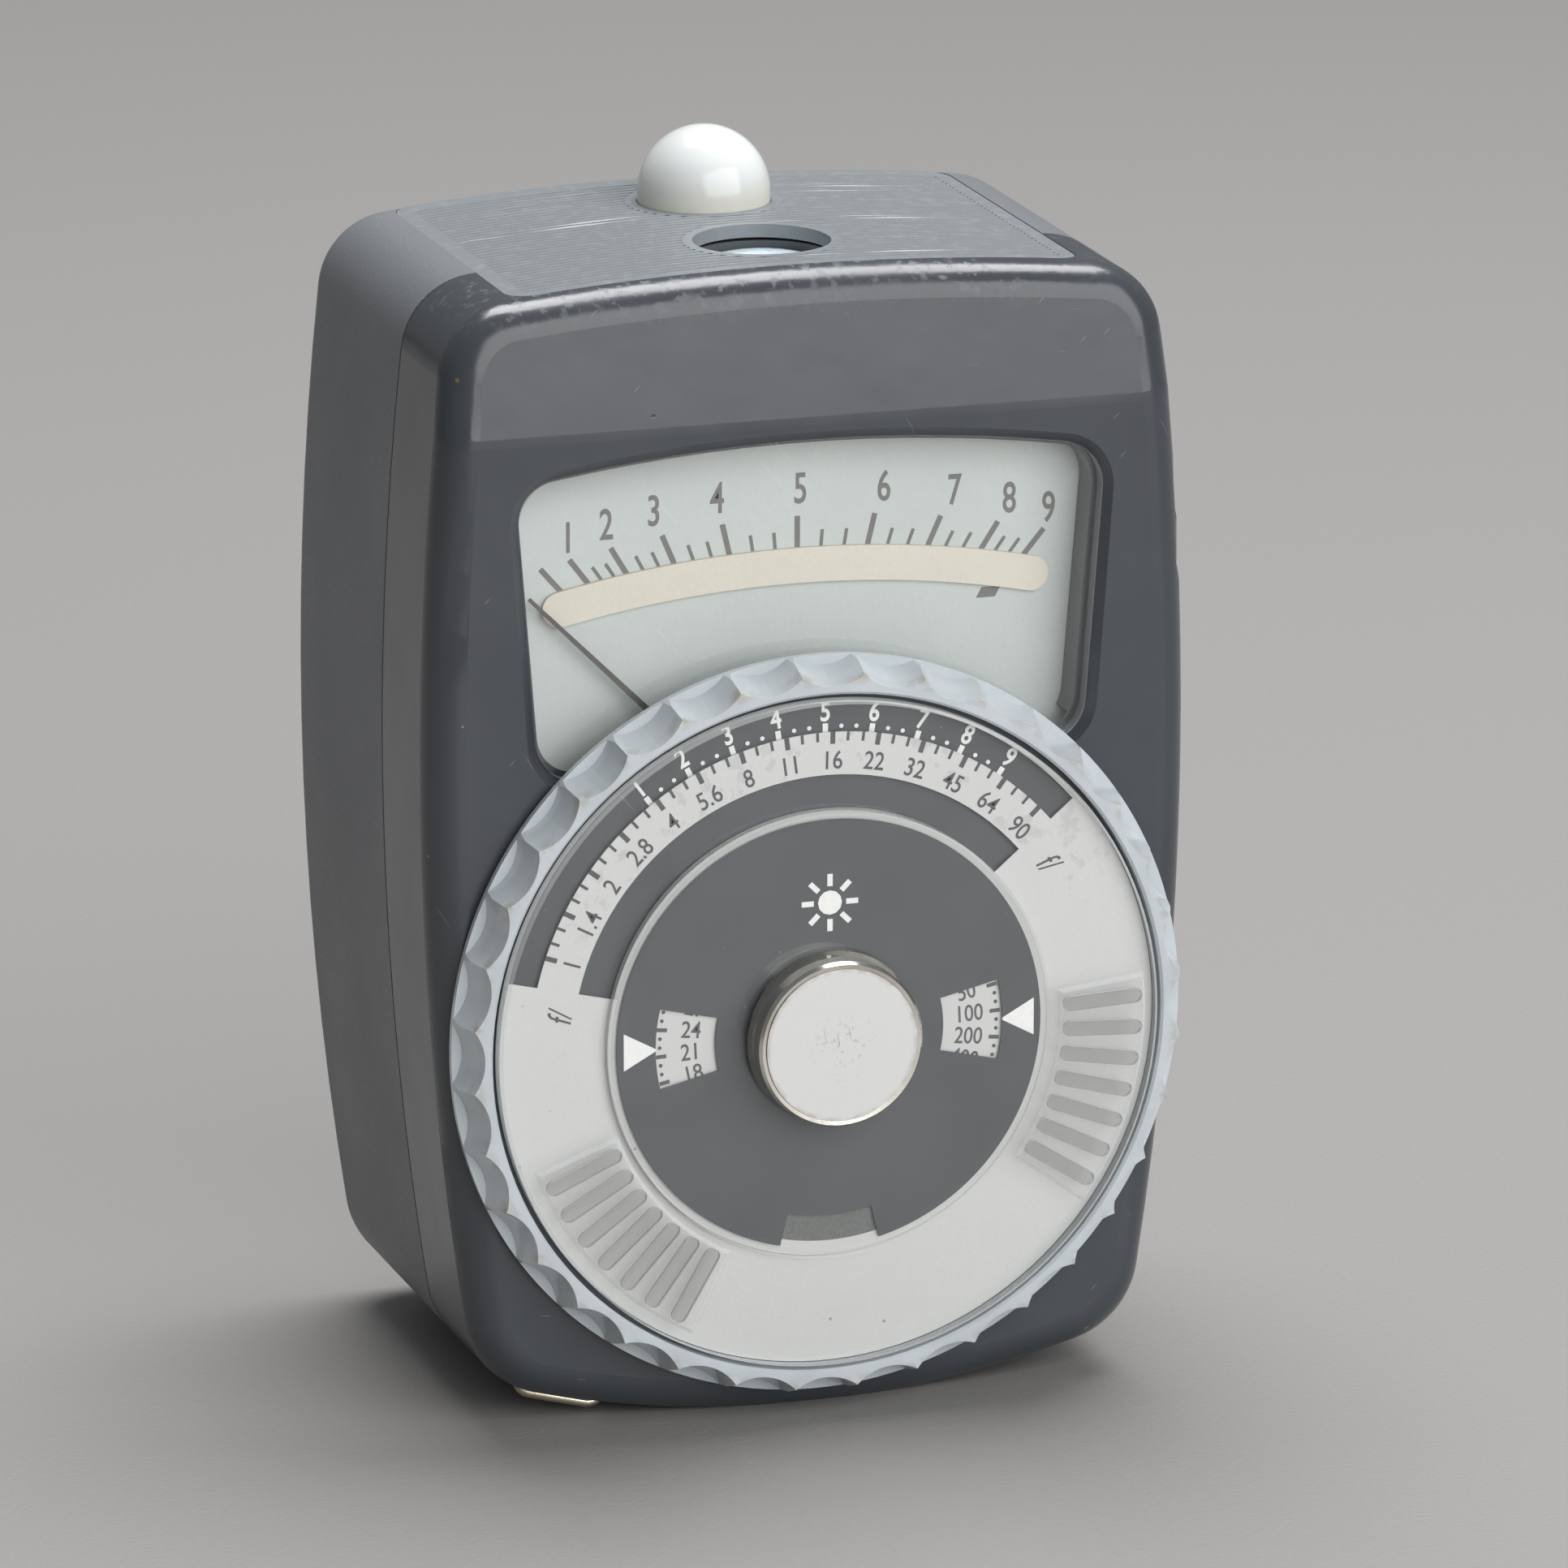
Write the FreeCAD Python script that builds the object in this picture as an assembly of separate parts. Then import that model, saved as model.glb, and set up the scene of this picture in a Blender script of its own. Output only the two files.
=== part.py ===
import FreeCAD, Part
import math
import os

# Hand-held exposure meter. X runs right, Y into the meter, Z up, in millimetres.
# The origin is the middle of the flat foot under the casing, half way through its depth.
# Angles on the dial and the scale are degrees clockwise from the top, seen from the front.

# ---------------------------------------------------------------- casing
casing_width = 60.0
casing_height = 88.2
casing_depth = 38.6
front_half_depth = 13.0
wall = 2.0
side_bow_radius = 280.0
top_bow_radius = 220.0
base_bow_radius = 80.0
widest_height = 50.5
top_corner_radius = 6.0
base_corner_radius = 7.0
foot_cut = 0.5
front_edge_radius = 2.8
rear_edge_radius = 3.0
forehead_height = 11.2
forehead_lean = 7.0
crease_radius = 6.0
seam_gap = 0.3
lip_thickness = 0.9
lip_length = 1.5
fit_gap = 0.05

# ---------------------------------------------------------------- window, scale and needle
window_side_margin = 6.8
window_side_taper = 4.0
window_top_drop = 12.7
window_bow_radius = 127.0
window_above_dial = 20.0
window_corner_radius = 3.5
window_bevel = 0.7
pane_thickness = 1.4
pane_recess = 0.4
tunnel_wall = 0.8
tunnel_ledge = 0.5
scale_depth = 4.7
scale_thickness = 1.0
scale_overlap = 1.6
strip_width = 2.7
strip_height = 0.4
strip_bow_radius = 87.0
strip_half_length = 18.6
strip_below_tip = 7.9
needle_pivot_rise = 12.4
needle_tip_margin = 2.7
needle_rest = -45.0
needle_swing = 87.0
needle_lift = 0.5
needle_thickness = 0.2

# ---------------------------------------------------------------- dial
ring_side_margin = 1.2
ring_base_margin = 1.7
ring_width = 2.4
ring_lift = 0.4
ring_height = 3.55
ring_taper = 0.45
ring_seat = 1.3
flute_count = 36
flute_radius = 4.2
flute_depth_back = 0.55
flute_depth_front = 1.1
disc_gap = 0.4
reading_thickness = 0.9
layer_gap = 0.25
print_thickness = 0.15
glue_gap = 0.02
aperture_thickness = 1.4
aperture_band = 8.6
speed_thickness = 0.5
inner_thickness = 0.6
film_offset = -13.5
window_half_angle = 63.1
edge_window = (0.4, 2.7)
band_window = (6.0, 8.6)
speed_window_radii = (9.0, 13.7)
speed_window_half_angle = 13.2
notch_depth = 3.0
notch_half_angle = 13.5
grip_angle = 118.4
grip_step = 5.9
grip_count = 7
grip_edge_margin = 2.0
grip_length = 5.1
grip_width = 1.2
grip_pad = 0.35
spindle_radius = 3.0
spindle_key = 3.6
hub_radius = 6.45
hub_rim = 0.5
hub_height = 2.45
hub_flare = 0.25

# ---------------------------------------------------------------- top plate, dome and light cell
plate_half_width = 22.3
plate_front_margin = 3.8
plate_back_margin = 2.0
plate_thickness = 1.1
plate_corner_radius = 2.0
plate_ledge = 1.2
rib_pitch = 0.85
rib_depth = 0.3
rib_margin = 1.3
collar_radius = 6.0
hole_radius = 5.25
hole_share = 0.28
dome_radius = 5.1
dome_share = 0.725
dome_rise = 0.7
dome_wall = 0.9
lens_drop = 1.1
cell_tube_wall = 0.7
cell_tube_length = 7.0

# ---------------------------------------------------------------- movement
yoke_inner = 6.6
yoke_outer = 11.0
yoke_length = 7.0
core_radius = 4.2
coil_half_width = 5.6
coil_thickness = 1.2
coil_bar = 0.8
pillar_spacing = 15.5
pillar_radius = 2.0
bridge_half_height = 2.0
bridge_thickness = 0.8
pivot_radius = 0.35
hairspring_turns = 4
hairspring_start = 0.9
hairspring_pitch = 0.6
hairspring_strip = 0.15

# ---------------------------------------------------------------- battery, switch, screws, strap loop
battery_radius = 7.8
battery_height = 6.0
battery_rise = 20.0
cap_radius = 9.0
cap_clearance = 0.06
cap_lug = 1.4
cap_lug_half_angle = 14.0
button_radius = 2.5
button_below_window_top = 5.5
button_behind_seam = 3.7
button_proud = 2.8
button_travel = 1.2
screw_radius = 1.0
screw_head_radius = 2.0
screw_side_inset = 8.5
screw_base_rise = 12.0
screw_top_drop = 8.7
post_radius = 2.6
zero_rise = 4.2
zero_throw = 0.6
zero_head_radius = 2.3
zero_shaft_radius = 1.1
strap_wire_radius = 0.45
strap_width = 6.9
strap_slope = 15.0
strap_depth = 3.7
strap_outer_x = -22.7
strap_hang = 0.35

# ---------------------------------------------------------------- values that follow from those above
front_face = -casing_depth / 2
rear_face = casing_depth / 2
front_inner = front_face + wall
rear_inner = rear_face - wall
seam = front_face + front_half_depth
half_width = casing_width / 2
crease_height = casing_height - forehead_height
far = casing_height + casing_width + casing_depth

ring_radius = half_width - ring_side_margin
dial_height = ring_radius + ring_base_margin
disc_radius = ring_radius - ring_width - disc_gap
inner_radius = disc_radius - aperture_band - 0.2
grip_outer = disc_radius - grip_edge_margin
grip_inner = grip_outer - grip_length

window_bottom = dial_height + window_above_dial
window_top = casing_height - window_top_drop
pane_front = front_face + pane_recess
pane_back = pane_front + pane_thickness
scale_front = front_face + scale_depth
strip_front = scale_front - strip_height
needle_back = strip_front - needle_lift
needle_front = needle_back - needle_thickness
pivot_height = dial_height + needle_pivot_rise
needle_length = window_top - pivot_height - needle_tip_margin

ring_back = front_face - ring_lift
ring_front = ring_back - ring_height
reading_back = ring_back - ring_seat
reading_front = reading_back - reading_thickness
film_back = reading_front - layer_gap
film_seat = film_back - print_thickness
aperture_front = film_seat - aperture_thickness
speed_front = film_seat - speed_thickness
inner_front = aperture_front
inner_back = inner_front + inner_thickness
hub_front = inner_front - hub_height

plate_front = front_face + plate_front_margin
plate_back = rear_face - plate_back_margin
plate_depth = plate_back - plate_front
hole_y = plate_front + hole_share * plate_depth
dome_y = plate_front + dome_share * plate_depth
plate_under = casing_height - plate_thickness
top_centre_height = casing_height - top_bow_radius

bridge_front_back = scale_front + scale_thickness + 0.3
yoke_front = bridge_front_back + 2.0
yoke_back = yoke_front + yoke_length
rear_bridge_front = yoke_back + 1.5
rear_bridge_back = rear_bridge_front + bridge_thickness

cap_front = rear_face - 2.9
battery_back = cap_front - 0.3
battery_front = battery_back - battery_height
button_y = seam + button_behind_seam
button_rise = window_top - button_below_window_top
button_face = half_width - (button_rise - widest_height) ** 2 / (2 * side_bow_radius)
button_root = button_face - wall - 1.6
switch_left = button_root - 3.4
screw_x = half_width - screw_side_inset
screw_top_rise = casing_height - screw_top_drop
zero_height = pivot_height + zero_rise


def point(x, y, z):
    return FreeCAD.Vector(x, y, z)


Y_AXIS = point(0, 1, 0)


def drum(radius, front, back, x=0.0, z=0.0):
    """Cylinder along Y."""
    return Part.makeCylinder(radius, back - front, point(x, front, z), Y_AXIS)


def tube(inner, outer, front, back, x=0.0, z=0.0):
    """Hollow cylinder along Y."""
    return drum(outer, front, back, x, z).cut(drum(inner, front - 1, back + 1, x, z))


def block(x0, x1, y0, y1, z0, z1):
    return Part.makeBox(x1 - x0, y1 - y0, z1 - z0, point(x0, y0, z0))


def turned(shape, degrees, x=0.0, z=0.0):
    """Shape turned clockwise, seen from the front, about the Y line through x, z."""
    copy = shape.copy()
    copy.rotate(point(x, 0, z), Y_AXIS, degrees)
    return copy


def polar(radius, degrees, y, x=0.0, z=0.0):
    angle = math.radians(degrees)
    return point(x + radius * math.sin(angle), y, z + radius * math.cos(angle))


def arc(radius, start, end, y, x=0.0, z=0.0):
    """Arc edge about the Y line through x, z."""
    ends = [polar(radius, angle, y, x, z) for angle in (start, (start + end) / 2, end)]
    return Part.Arc(*ends).toShape()


def sector(inner, outer, start, end, front, back, x=0.0, z=0.0):
    """Part of a flat ring between two angles."""
    edges = [
        arc(inner, start, end, front, x, z),
        Part.makeLine(polar(inner, end, front, x, z), polar(outer, end, front, x, z)),
        arc(outer, end, start, front, x, z),
        Part.makeLine(polar(outer, start, front, x, z), polar(inner, start, front, x, z)),
    ]
    return Part.Face(Part.Wire(edges)).extrude(point(0, back - front, 0))


def rounded_block(x0, x1, y0, y1, z0, z1, radius):
    """Block with its upright edges rounded."""
    solid = block(x0, x1, y0, y1, z0, z1)
    upright = [e for e in solid.Edges if abs(e.tangentAt(e.FirstParameter).z) > 0.9]
    return solid.makeFillet(radius, upright)


def runs_along_y(edge):
    """True for an edge that runs along Y."""
    return abs(edge.tangentAt(edge.FirstParameter).y) > 0.9


# ---------------------------------------------------------------- casing shapes
def corner_centre(bow_height, bow_radius, radius, side):
    """Centre of the corner arc that touches a side bow and the top (1) or base (-1) bow."""
    side_x = half_width - side_bow_radius
    reach_side = side_bow_radius - radius
    reach_bow = bow_radius - radius
    apart = math.hypot(side_x, widest_height - bow_height)
    along = (reach_bow ** 2 - reach_side ** 2 + apart ** 2) / (2 * apart)
    off = math.sqrt(reach_bow ** 2 - along ** 2)
    ux = side_x / apart
    uz = (widest_height - bow_height) / apart
    options = [(along * ux + s * off * uz, bow_height + along * uz - s * off * ux) for s in (1, -1)]
    return max(options, key=lambda c: c[0] + side * c[1])


def casing_outline(inset, y):
    """Closed front outline of the casing: four long bows joined by four corner arcs."""
    base_height = base_bow_radius - foot_cut
    side_x = half_width - side_bow_radius
    top = corner_centre(top_centre_height, top_bow_radius, top_corner_radius, 1)
    base = corner_centre(base_height, base_bow_radius, base_corner_radius, -1)

    def touch(bow_x, bow_z, radius, corner):
        length = math.hypot(corner[0] - bow_x, corner[1] - bow_z)
        return (bow_x + (radius - inset) * (corner[0] - bow_x) / length,
                bow_z + (radius - inset) * (corner[1] - bow_z) / length)

    def corner_middle(corner, radius, first, second):
        mid_x = (first[0] + second[0]) / 2 - corner[0]
        mid_z = (first[1] + second[1]) / 2 - corner[1]
        length = math.hypot(mid_x, mid_z)
        return (corner[0] + (radius - inset) * mid_x / length,
                corner[1] + (radius - inset) * mid_z / length)

    top_end = touch(0, top_centre_height, top_bow_radius, top)
    side_high = touch(side_x, widest_height, side_bow_radius, top)
    side_low = touch(side_x, widest_height, side_bow_radius, base)
    base_end = touch(0, base_height, base_bow_radius, base)
    half = [(0, casing_height - inset), top_end,
            corner_middle(top, top_corner_radius, top_end, side_high), side_high,
            (half_width - inset, widest_height), side_low,
            corner_middle(base, base_corner_radius, side_low, base_end), base_end,
            (0, -foot_cut + inset)]
    path = half + [(-x, z) for x, z in reversed(half[1:-1])]
    edges = []
    for step in range(1, len(path) + 1, 2):
        ends = [path[(step + k) % len(path)] for k in range(3)]
        edges.append(Part.Arc(*[point(x, y, z) for x, z in ends]).toShape())
    return Part.Wire(edges)


def outline_prism(inset, front, back):
    return Part.Face(casing_outline(inset, front)).extrude(point(0, back - front, 0))


def side_profile(inset):
    """Slab between the front face, its leaning forehead and the rear face."""
    lean = math.tan(math.radians(forehead_lean))
    front = front_face + inset
    back = rear_face - inset
    above = forehead_height + foot_cut
    bend = crease_radius * math.tan(math.radians(forehead_lean) / 2)
    slope = math.radians(forehead_lean)
    low = point(-far, front, crease_height - bend)
    high = point(-far, front + bend * math.sin(slope), crease_height + bend * math.cos(slope))
    middle = point(-far, front + crease_radius * (1 - math.cos(slope / 2)),
                   crease_height - bend + crease_radius * math.sin(slope / 2))
    top_front = point(-far, front + above * lean, crease_height + above)
    corners = [high, top_front, point(-far, back, crease_height + above),
               point(-far, back, -foot_cut * 2), point(-far, front, -foot_cut * 2), low]
    edges = [Part.Arc(low, middle, high).toShape()]
    edges += [Part.makeLine(corners[i], corners[i + 1]) for i in range(len(corners) - 1)]
    return Part.Face(Part.Wire(edges)).extrude(point(2 * far, 0, 0))


def on_rim(edge):
    """True for an edge of the front or rear rim, false for one across the front face."""
    middle = edge.valueAt((edge.FirstParameter + edge.LastParameter) / 2)
    inside = outline_prism(0.05, -far, far)
    return not inside.isInside(middle, 0.001, True)


def casing_block():
    """Outer shape of the closed casing with its rounded rims and flat foot."""
    solid = outline_prism(0, -far, far).common(side_profile(0))
    rims = [e for e in solid.Edges if on_rim(e) and not runs_along_y(e)]
    front_rim = [e for e in rims if e.CenterOfMass.y < 0]
    rear_rim = [e for e in rims if e.CenterOfMass.y > 0]
    solid = solid.makeFillet(front_edge_radius, front_rim)
    rear_middles = [e.CenterOfMass for e in rear_rim]
    again = [e for e in solid.Edges
             if any(e.CenterOfMass.distanceToPoint(m) < 0.01 for m in rear_middles)]
    solid = solid.makeFillet(rear_edge_radius, again)
    return solid.common(block(-far, far, -far, far, 0, far))


def casing_cavity():
    return outline_prism(wall, -far, far).common(side_profile(wall))


def window_block(grow, front, back):
    """Block with the outline of the window, grown outward; its top edge is bowed."""
    half_top = half_width - window_side_margin + grow
    height = window_top - window_bottom
    taper = math.tan(math.radians(window_side_taper))
    half_bottom = half_top - taper * height
    radius = window_bow_radius + grow
    centre = window_top - window_bow_radius
    top_z = centre + math.sqrt(radius ** 2 - half_top ** 2)
    low_z = window_bottom - grow
    edges = [
        Part.Arc(point(-half_top, front, top_z), point(0, front, centre + radius),
                 point(half_top, front, top_z)).toShape(),
        Part.makeLine(point(half_top, front, top_z), point(half_bottom, front, low_z)),
        Part.makeLine(point(half_bottom, front, low_z), point(-half_bottom, front, low_z)),
        Part.makeLine(point(-half_bottom, front, low_z), point(-half_top, front, top_z)),
    ]
    solid = Part.Face(Part.Wire(edges)).extrude(point(0, back - front, 0))
    corners = [e for e in solid.Edges if runs_along_y(e)]
    return solid.makeFillet(window_corner_radius + grow, corners)


def window_wire(grow, y):
    faces = window_block(grow, y, y + 1).Faces
    return min(faces, key=lambda f: f.CenterOfMass.y).OuterWire


def window_cutter():
    """The window opening: a bevelled mouth, a seat for the pane and a narrower throat."""
    mouth = Part.makeLoft([window_wire(window_bevel + 0.1, front_face - 0.1),
                           window_wire(0, front_face + window_bevel)], True, True)
    seat = window_block(0, front_face - 1, pane_back)
    throat = window_block(-tunnel_ledge, front_face, scale_front)
    return mouth.fuse([seat, throat])


def screw_places():
    return [(side * screw_x, z) for side in (-1, 1) for z in (screw_base_rise, screw_top_rise)]


def plate_block(grow, low, high):
    half = plate_half_width + grow
    return rounded_block(-half, half, plate_front - grow, plate_back + grow, low, high,
                         plate_corner_radius + grow)


def plate_pocket():
    """Recess for the top plate and the smaller opening below its ledge."""
    bow = tube(top_bow_radius - plate_thickness, top_bow_radius + wall, -far, far,
               0, top_centre_height)
    recess = bow.common(plate_block(fit_gap, casing_height - 4 * wall, casing_height + wall))
    opening = plate_block(-plate_ledge, casing_height - 4 * wall, casing_height + wall)
    return recess.fuse(opening)


def strap_path():
    """Ends of the strap loop's crossbar, and its length along the sloping base."""
    slope = math.radians(strap_slope)
    y = front_face + strap_depth
    outer_z = -foot_cut + strap_outer_x ** 2 / (2 * base_bow_radius) - strap_hang
    outer = point(strap_outer_x, y, outer_z)
    inner = point(strap_outer_x + strap_width * math.cos(slope), y,
                  outer_z - strap_width * math.sin(slope))
    return outer, inner


def strap_loop():
    """Staple of round wire: a crossbar under the base with both legs let into it."""
    outer, inner = strap_path()
    slope = math.radians(strap_slope)
    across = point(math.cos(slope), 0, -math.sin(slope))
    up = point(math.sin(slope), 0, math.cos(slope))
    bend = 1.2
    leg = 5.0
    top_outer = outer + up * leg
    top_inner = inner + up * leg
    turn = bend * (1 - math.sqrt(0.5))
    start = outer + up * bend
    bar_start = outer + across * bend
    bar_end = inner - across * bend
    end = inner + up * bend
    edges = [
        Part.makeLine(top_outer, start),
        Part.Arc(start, outer + (across + up) * turn, bar_start).toShape(),
        Part.makeLine(bar_start, bar_end),
        Part.Arc(bar_end, inner + (up - across) * turn, end).toShape(),
        Part.makeLine(end, top_inner),
    ]
    section = Part.Wire([Part.makeCircle(strap_wire_radius, top_outer, up)])
    return Part.Wire(edges).makePipeShell([section], True, False)


def strap_holes():
    """Two holes for the wire's legs, and the shallow slot that the crossbar lies in."""
    outer, inner = strap_path()
    slope = math.radians(strap_slope)
    up = point(math.sin(slope), 0, math.cos(slope))
    radius = strap_wire_radius + 0.02
    legs = [Part.makeCylinder(radius, 5.2, end, up) for end in (outer, inner)]
    margin = strap_wire_radius + 0.9
    slot = Part.makeBox(strap_width + 2 * margin, 2 * margin, 4.0, point(-margin, -margin, -3.0))
    slot = slot.makeFillet(margin * 0.95, [e for e in slot.Edges
                                           if abs(e.tangentAt(e.FirstParameter).z) > 0.9])
    slot.rotate(point(0, 0, 0), Y_AXIS, strap_slope)
    slot.translate(outer)
    return legs, slot


def strap_boss():
    """Thick pad inside the base that grips the wire's legs."""
    outer, inner = strap_path()
    pad = block(outer.x - 2.5, inner.x + 4.0, outer.y - 2.6, outer.y + 2.6, -foot_cut, 7.5)
    return pad.common(casing_block())


def front_casing():
    shell = casing_block().common(block(-far, far, -far, seam - seam_gap / 2, -far, far))
    shell = shell.cut(casing_cavity())
    additions = [drum(post_radius, front_inner - 0.5, seam - seam_gap / 2, x, z)
                 for x, z in screw_places()]
    additions += [drum(pillar_radius, front_inner - 0.5, scale_front + scale_thickness + 0.3
                       - bridge_thickness, side * pillar_spacing, pivot_height)
                  for side in (-1, 1)]
    tunnel = window_block(tunnel_wall, front_inner - 0.5, scale_front - fit_gap)
    needle_way = block(-far, far, front_inner, scale_front, -far, window_bottom + 2.0)
    additions.append(tunnel.cut(needle_way))
    additions.append(strap_boss())
    shell = shell.fuse(additions)
    legs, slot = strap_holes()
    rebate = outline_prism(wall - lip_thickness - fit_gap, seam - lip_length - 0.2, seam)
    rebate = rebate.cut([drum(post_radius, front_inner, seam, x, z) for x, z in screw_places()])
    cuts = [window_cutter(), plate_pocket(), rebate, slot]
    cuts += [drum(spindle_radius + 0.02, front_face - 1, front_inner + 1, 0, dial_height)]
    cuts += [drum(screw_radius, front_inner + 1, seam, x, z) for x, z in screw_places()]
    cuts += [drum(0.8, front_inner + 0.5, far, side * pillar_spacing, pivot_height)
             for side in (-1, 1)]
    return shell.cut(cuts + legs)


def battery_web():
    """L-shaped web that ties the battery's wall to the back, clear of the turning cap."""
    half = 0.5
    wall_end = rear_inner - 1.6
    low = battery_rise + battery_radius + 1.0
    foot = battery_rise + cap_radius + cap_lug + 0.6
    arm = block(-half, half, battery_front, wall_end, low, foot + 1.5)
    return arm.fuse(block(-half, half, battery_front, rear_inner + 0.5, foot, foot + 1.5))


def rear_casing():
    shell = casing_block().common(block(-far, far, seam + seam_gap / 2, far, -far, far))
    shell = shell.cut(casing_cavity())
    lip = outline_prism(wall - lip_thickness, seam - lip_length, seam + 2.0)
    lip = lip.cut(outline_prism(wall, -far, far))
    battery_wall = tube(battery_radius + 0.3, battery_radius + 1.3, battery_front,
                        rear_inner - 1.6, 0, battery_rise)
    posts = [drum(post_radius, seam + seam_gap / 2, rear_inner + 0.5, x, z)
             for x, z in screw_places()]
    webs = [turned(battery_web(), angle, 0, battery_rise) for angle in (0, 90, 180, 270)]
    zero_boss = drum(2.4, rear_inner - 2.0, rear_inner + 0.5, 0, zero_height)
    lip = lip.cut(block(-far, far, -far, far, casing_height - 4, far))
    shell = shell.fuse([lip, battery_wall, zero_boss] + posts + webs)
    cuts = [plate_pocket()]
    cuts.append(drum(cap_radius + cap_clearance, rear_inner - 1, far, 0, battery_rise))
    for side in (0, 180):
        notch = sector(cap_radius - 1, cap_radius + cap_lug + 0.3, 90 - cap_lug_half_angle - 2,
                       90 + cap_lug_half_angle + 2, rear_inner - 1, far, 0, battery_rise)
        cuts.append(turned(notch, side, 0, battery_rise))
    for x, z in screw_places():
        cuts.append(drum(screw_radius + 0.1, seam, far, x, z))
        cuts.append(drum(screw_head_radius + 0.15, rear_face - 1.5, far, x, z))
    cuts.append(drum(zero_shaft_radius + fit_gap, rear_inner - 3, far, 0, zero_height))
    cuts.append(drum(zero_head_radius + fit_gap, rear_face - 1.3, far, 0, zero_height))
    bore = Part.makeCylinder(button_radius + fit_gap, far, point(half_width - 9, button_y, button_rise),
                             point(1, 0, 0))
    cuts.append(bore)
    return shell.cut(cuts)


# ---------------------------------------------------------------- top of the meter
def rib_grooves():
    """V-grooves along X that leave the ribs of the top plate, cut short round both collars."""
    half_angle = math.degrees(math.asin((plate_half_width - rib_margin) / top_bow_radius))
    width = rib_pitch * 0.7
    first = plate_front + rib_margin
    count = int((plate_depth - 2 * rib_margin) / rib_pitch)
    crest = top_bow_radius - fit_gap
    corners = [point(0, 0, crest + 0.1), point(0, width, crest + 0.1),
               point(0, width / 2, crest - rib_depth)]
    groove = Part.Face(Part.makePolygon(corners + corners[:1]))
    groove = groove.revolve(point(0, 0, 0), Y_AXIS, 2 * half_angle)
    groove.rotate(point(0, 0, 0), Y_AXIS, -half_angle)
    grooves = []
    for index in range(count):
        copy = groove.copy()
        copy.translate(point(0, first + index * rib_pitch, top_centre_height))
        grooves.append(copy)
    collars = [Part.makeCylinder(collar_radius, far, point(0, y, 0)) for y in (hole_y, dome_y)]
    return Part.makeCompound(grooves).cut(collars)


def top_plate():
    bow = tube(top_bow_radius - plate_thickness + 0.02, top_bow_radius - fit_gap, -far, far,
               0, top_centre_height)
    plate = bow.common(plate_block(0, casing_height - 4 * wall, casing_height + wall))
    holes = [Part.makeCylinder(hole_radius, far, point(0, hole_y, 0)),
             Part.makeCylinder(dome_radius + fit_gap, far, point(0, dome_y, 0))]
    return plate.cut(holes).cut(rib_grooves())


def sleeve_room():
    """Room for the sleeve under the hole, which the dome's flange and its cell leave free."""
    length = 2 * cell_tube_length
    return Part.makeCylinder(hole_radius + cell_tube_wall + fit_gap, length,
                             point(0, hole_y, plate_under - length))


def diffuser_dome():
    base = plate_under - 1.0
    centre = casing_height + dome_rise
    outer = Part.makeCylinder(dome_radius, centre - base, point(0, dome_y, base))
    outer = outer.fuse(Part.makeSphere(dome_radius, point(0, dome_y, centre)))
    outer = outer.fuse(Part.makeCylinder(collar_radius - 0.1, 0.8, point(0, dome_y, base)))
    inner = Part.makeCylinder(dome_radius - dome_wall, centre - base, point(0, dome_y, base))
    inner = inner.fuse(Part.makeSphere(dome_radius - dome_wall, point(0, dome_y, centre)))
    return outer.cut([inner, sleeve_room()]).common(block(-far, far, -far, far, base, far))


def cell_tube():
    """Open sleeve that hangs under the plate and holds the lens over its photocell."""
    top = plate_under - 0.2
    outer = Part.makeCylinder(hole_radius + cell_tube_wall, cell_tube_length,
                              point(0, hole_y, top - cell_tube_length))
    bore = Part.makeCylinder(hole_radius - 0.05, cell_tube_length,
                             point(0, hole_y, top - cell_tube_length + 0.8))
    return outer.cut(bore)


def cell_lens():
    """Plano-convex lens, its crown a little below the rim of the plate's hole."""
    crown = casing_height - lens_drop
    radius = hole_radius - 0.1
    bulge = 0.9
    ball = (radius ** 2 + bulge ** 2) / (2 * bulge)
    body = Part.makeCylinder(radius, 4, point(0, hole_y, crown - bulge - 1.0))
    return body.common(Part.makeSphere(ball, point(0, hole_y, crown - ball)))


def reflected_photocell():
    floor = plate_under - 0.2 - cell_tube_length + 0.8
    return Part.makeCylinder(hole_radius - 0.6, 1.2, point(0, hole_y, floor))


def incident_photocell():
    cell = Part.makeCylinder(collar_radius - 0.1, 1.6, point(0, dome_y, plate_under - 2.7))
    return cell.cut(sleeve_room())


# ---------------------------------------------------------------- window and scale
def scale_window():
    return window_block(-fit_gap, pane_front, pane_back - 0.05)


def scale_plate():
    plate = window_block(scale_overlap, scale_front, scale_front + scale_thickness)
    return plate.cut(block(-far, far, -far, far, -far, window_bottom - 1.5))


def scale_strip():
    centre = pivot_height + needle_length - strip_below_tip - strip_bow_radius
    half = math.degrees(math.asin(strip_half_length / strip_bow_radius))
    inner = strip_bow_radius - strip_width / 2
    band = sector(inner, inner + strip_width, -half, half, strip_front, scale_front, 0, centre)
    ends = []
    for side in (-1, 1):
        tip = polar(strip_bow_radius, side * half, 0, 0, centre)
        ends.append(drum(strip_width / 2, strip_front, scale_front, tip.x, tip.z))
    return band.fuse(ends).removeSplitter()


def needle():
    """Flat pointer and its short tail on a small boss, drawn upright and then laid at rest."""
    root = 0.35
    tip = 0.15
    tail = 5.0
    corners = [point(-root, needle_front, 0), point(-tip, needle_front, needle_length),
               point(tip, needle_front, needle_length), point(root, needle_front, 0),
               point(root, needle_front, -tail), point(-root, needle_front, -tail)]
    flat = Part.Face(Part.makePolygon(corners + corners[:1])).extrude(point(0, needle_thickness, 0))
    flat = flat.fuse(drum(1.1, needle_front, needle_back)).cut(drum(pivot_radius, -far, far))
    flat.translate(point(0, 0, pivot_height))
    return turned(flat, needle_rest, 0, pivot_height)


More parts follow.
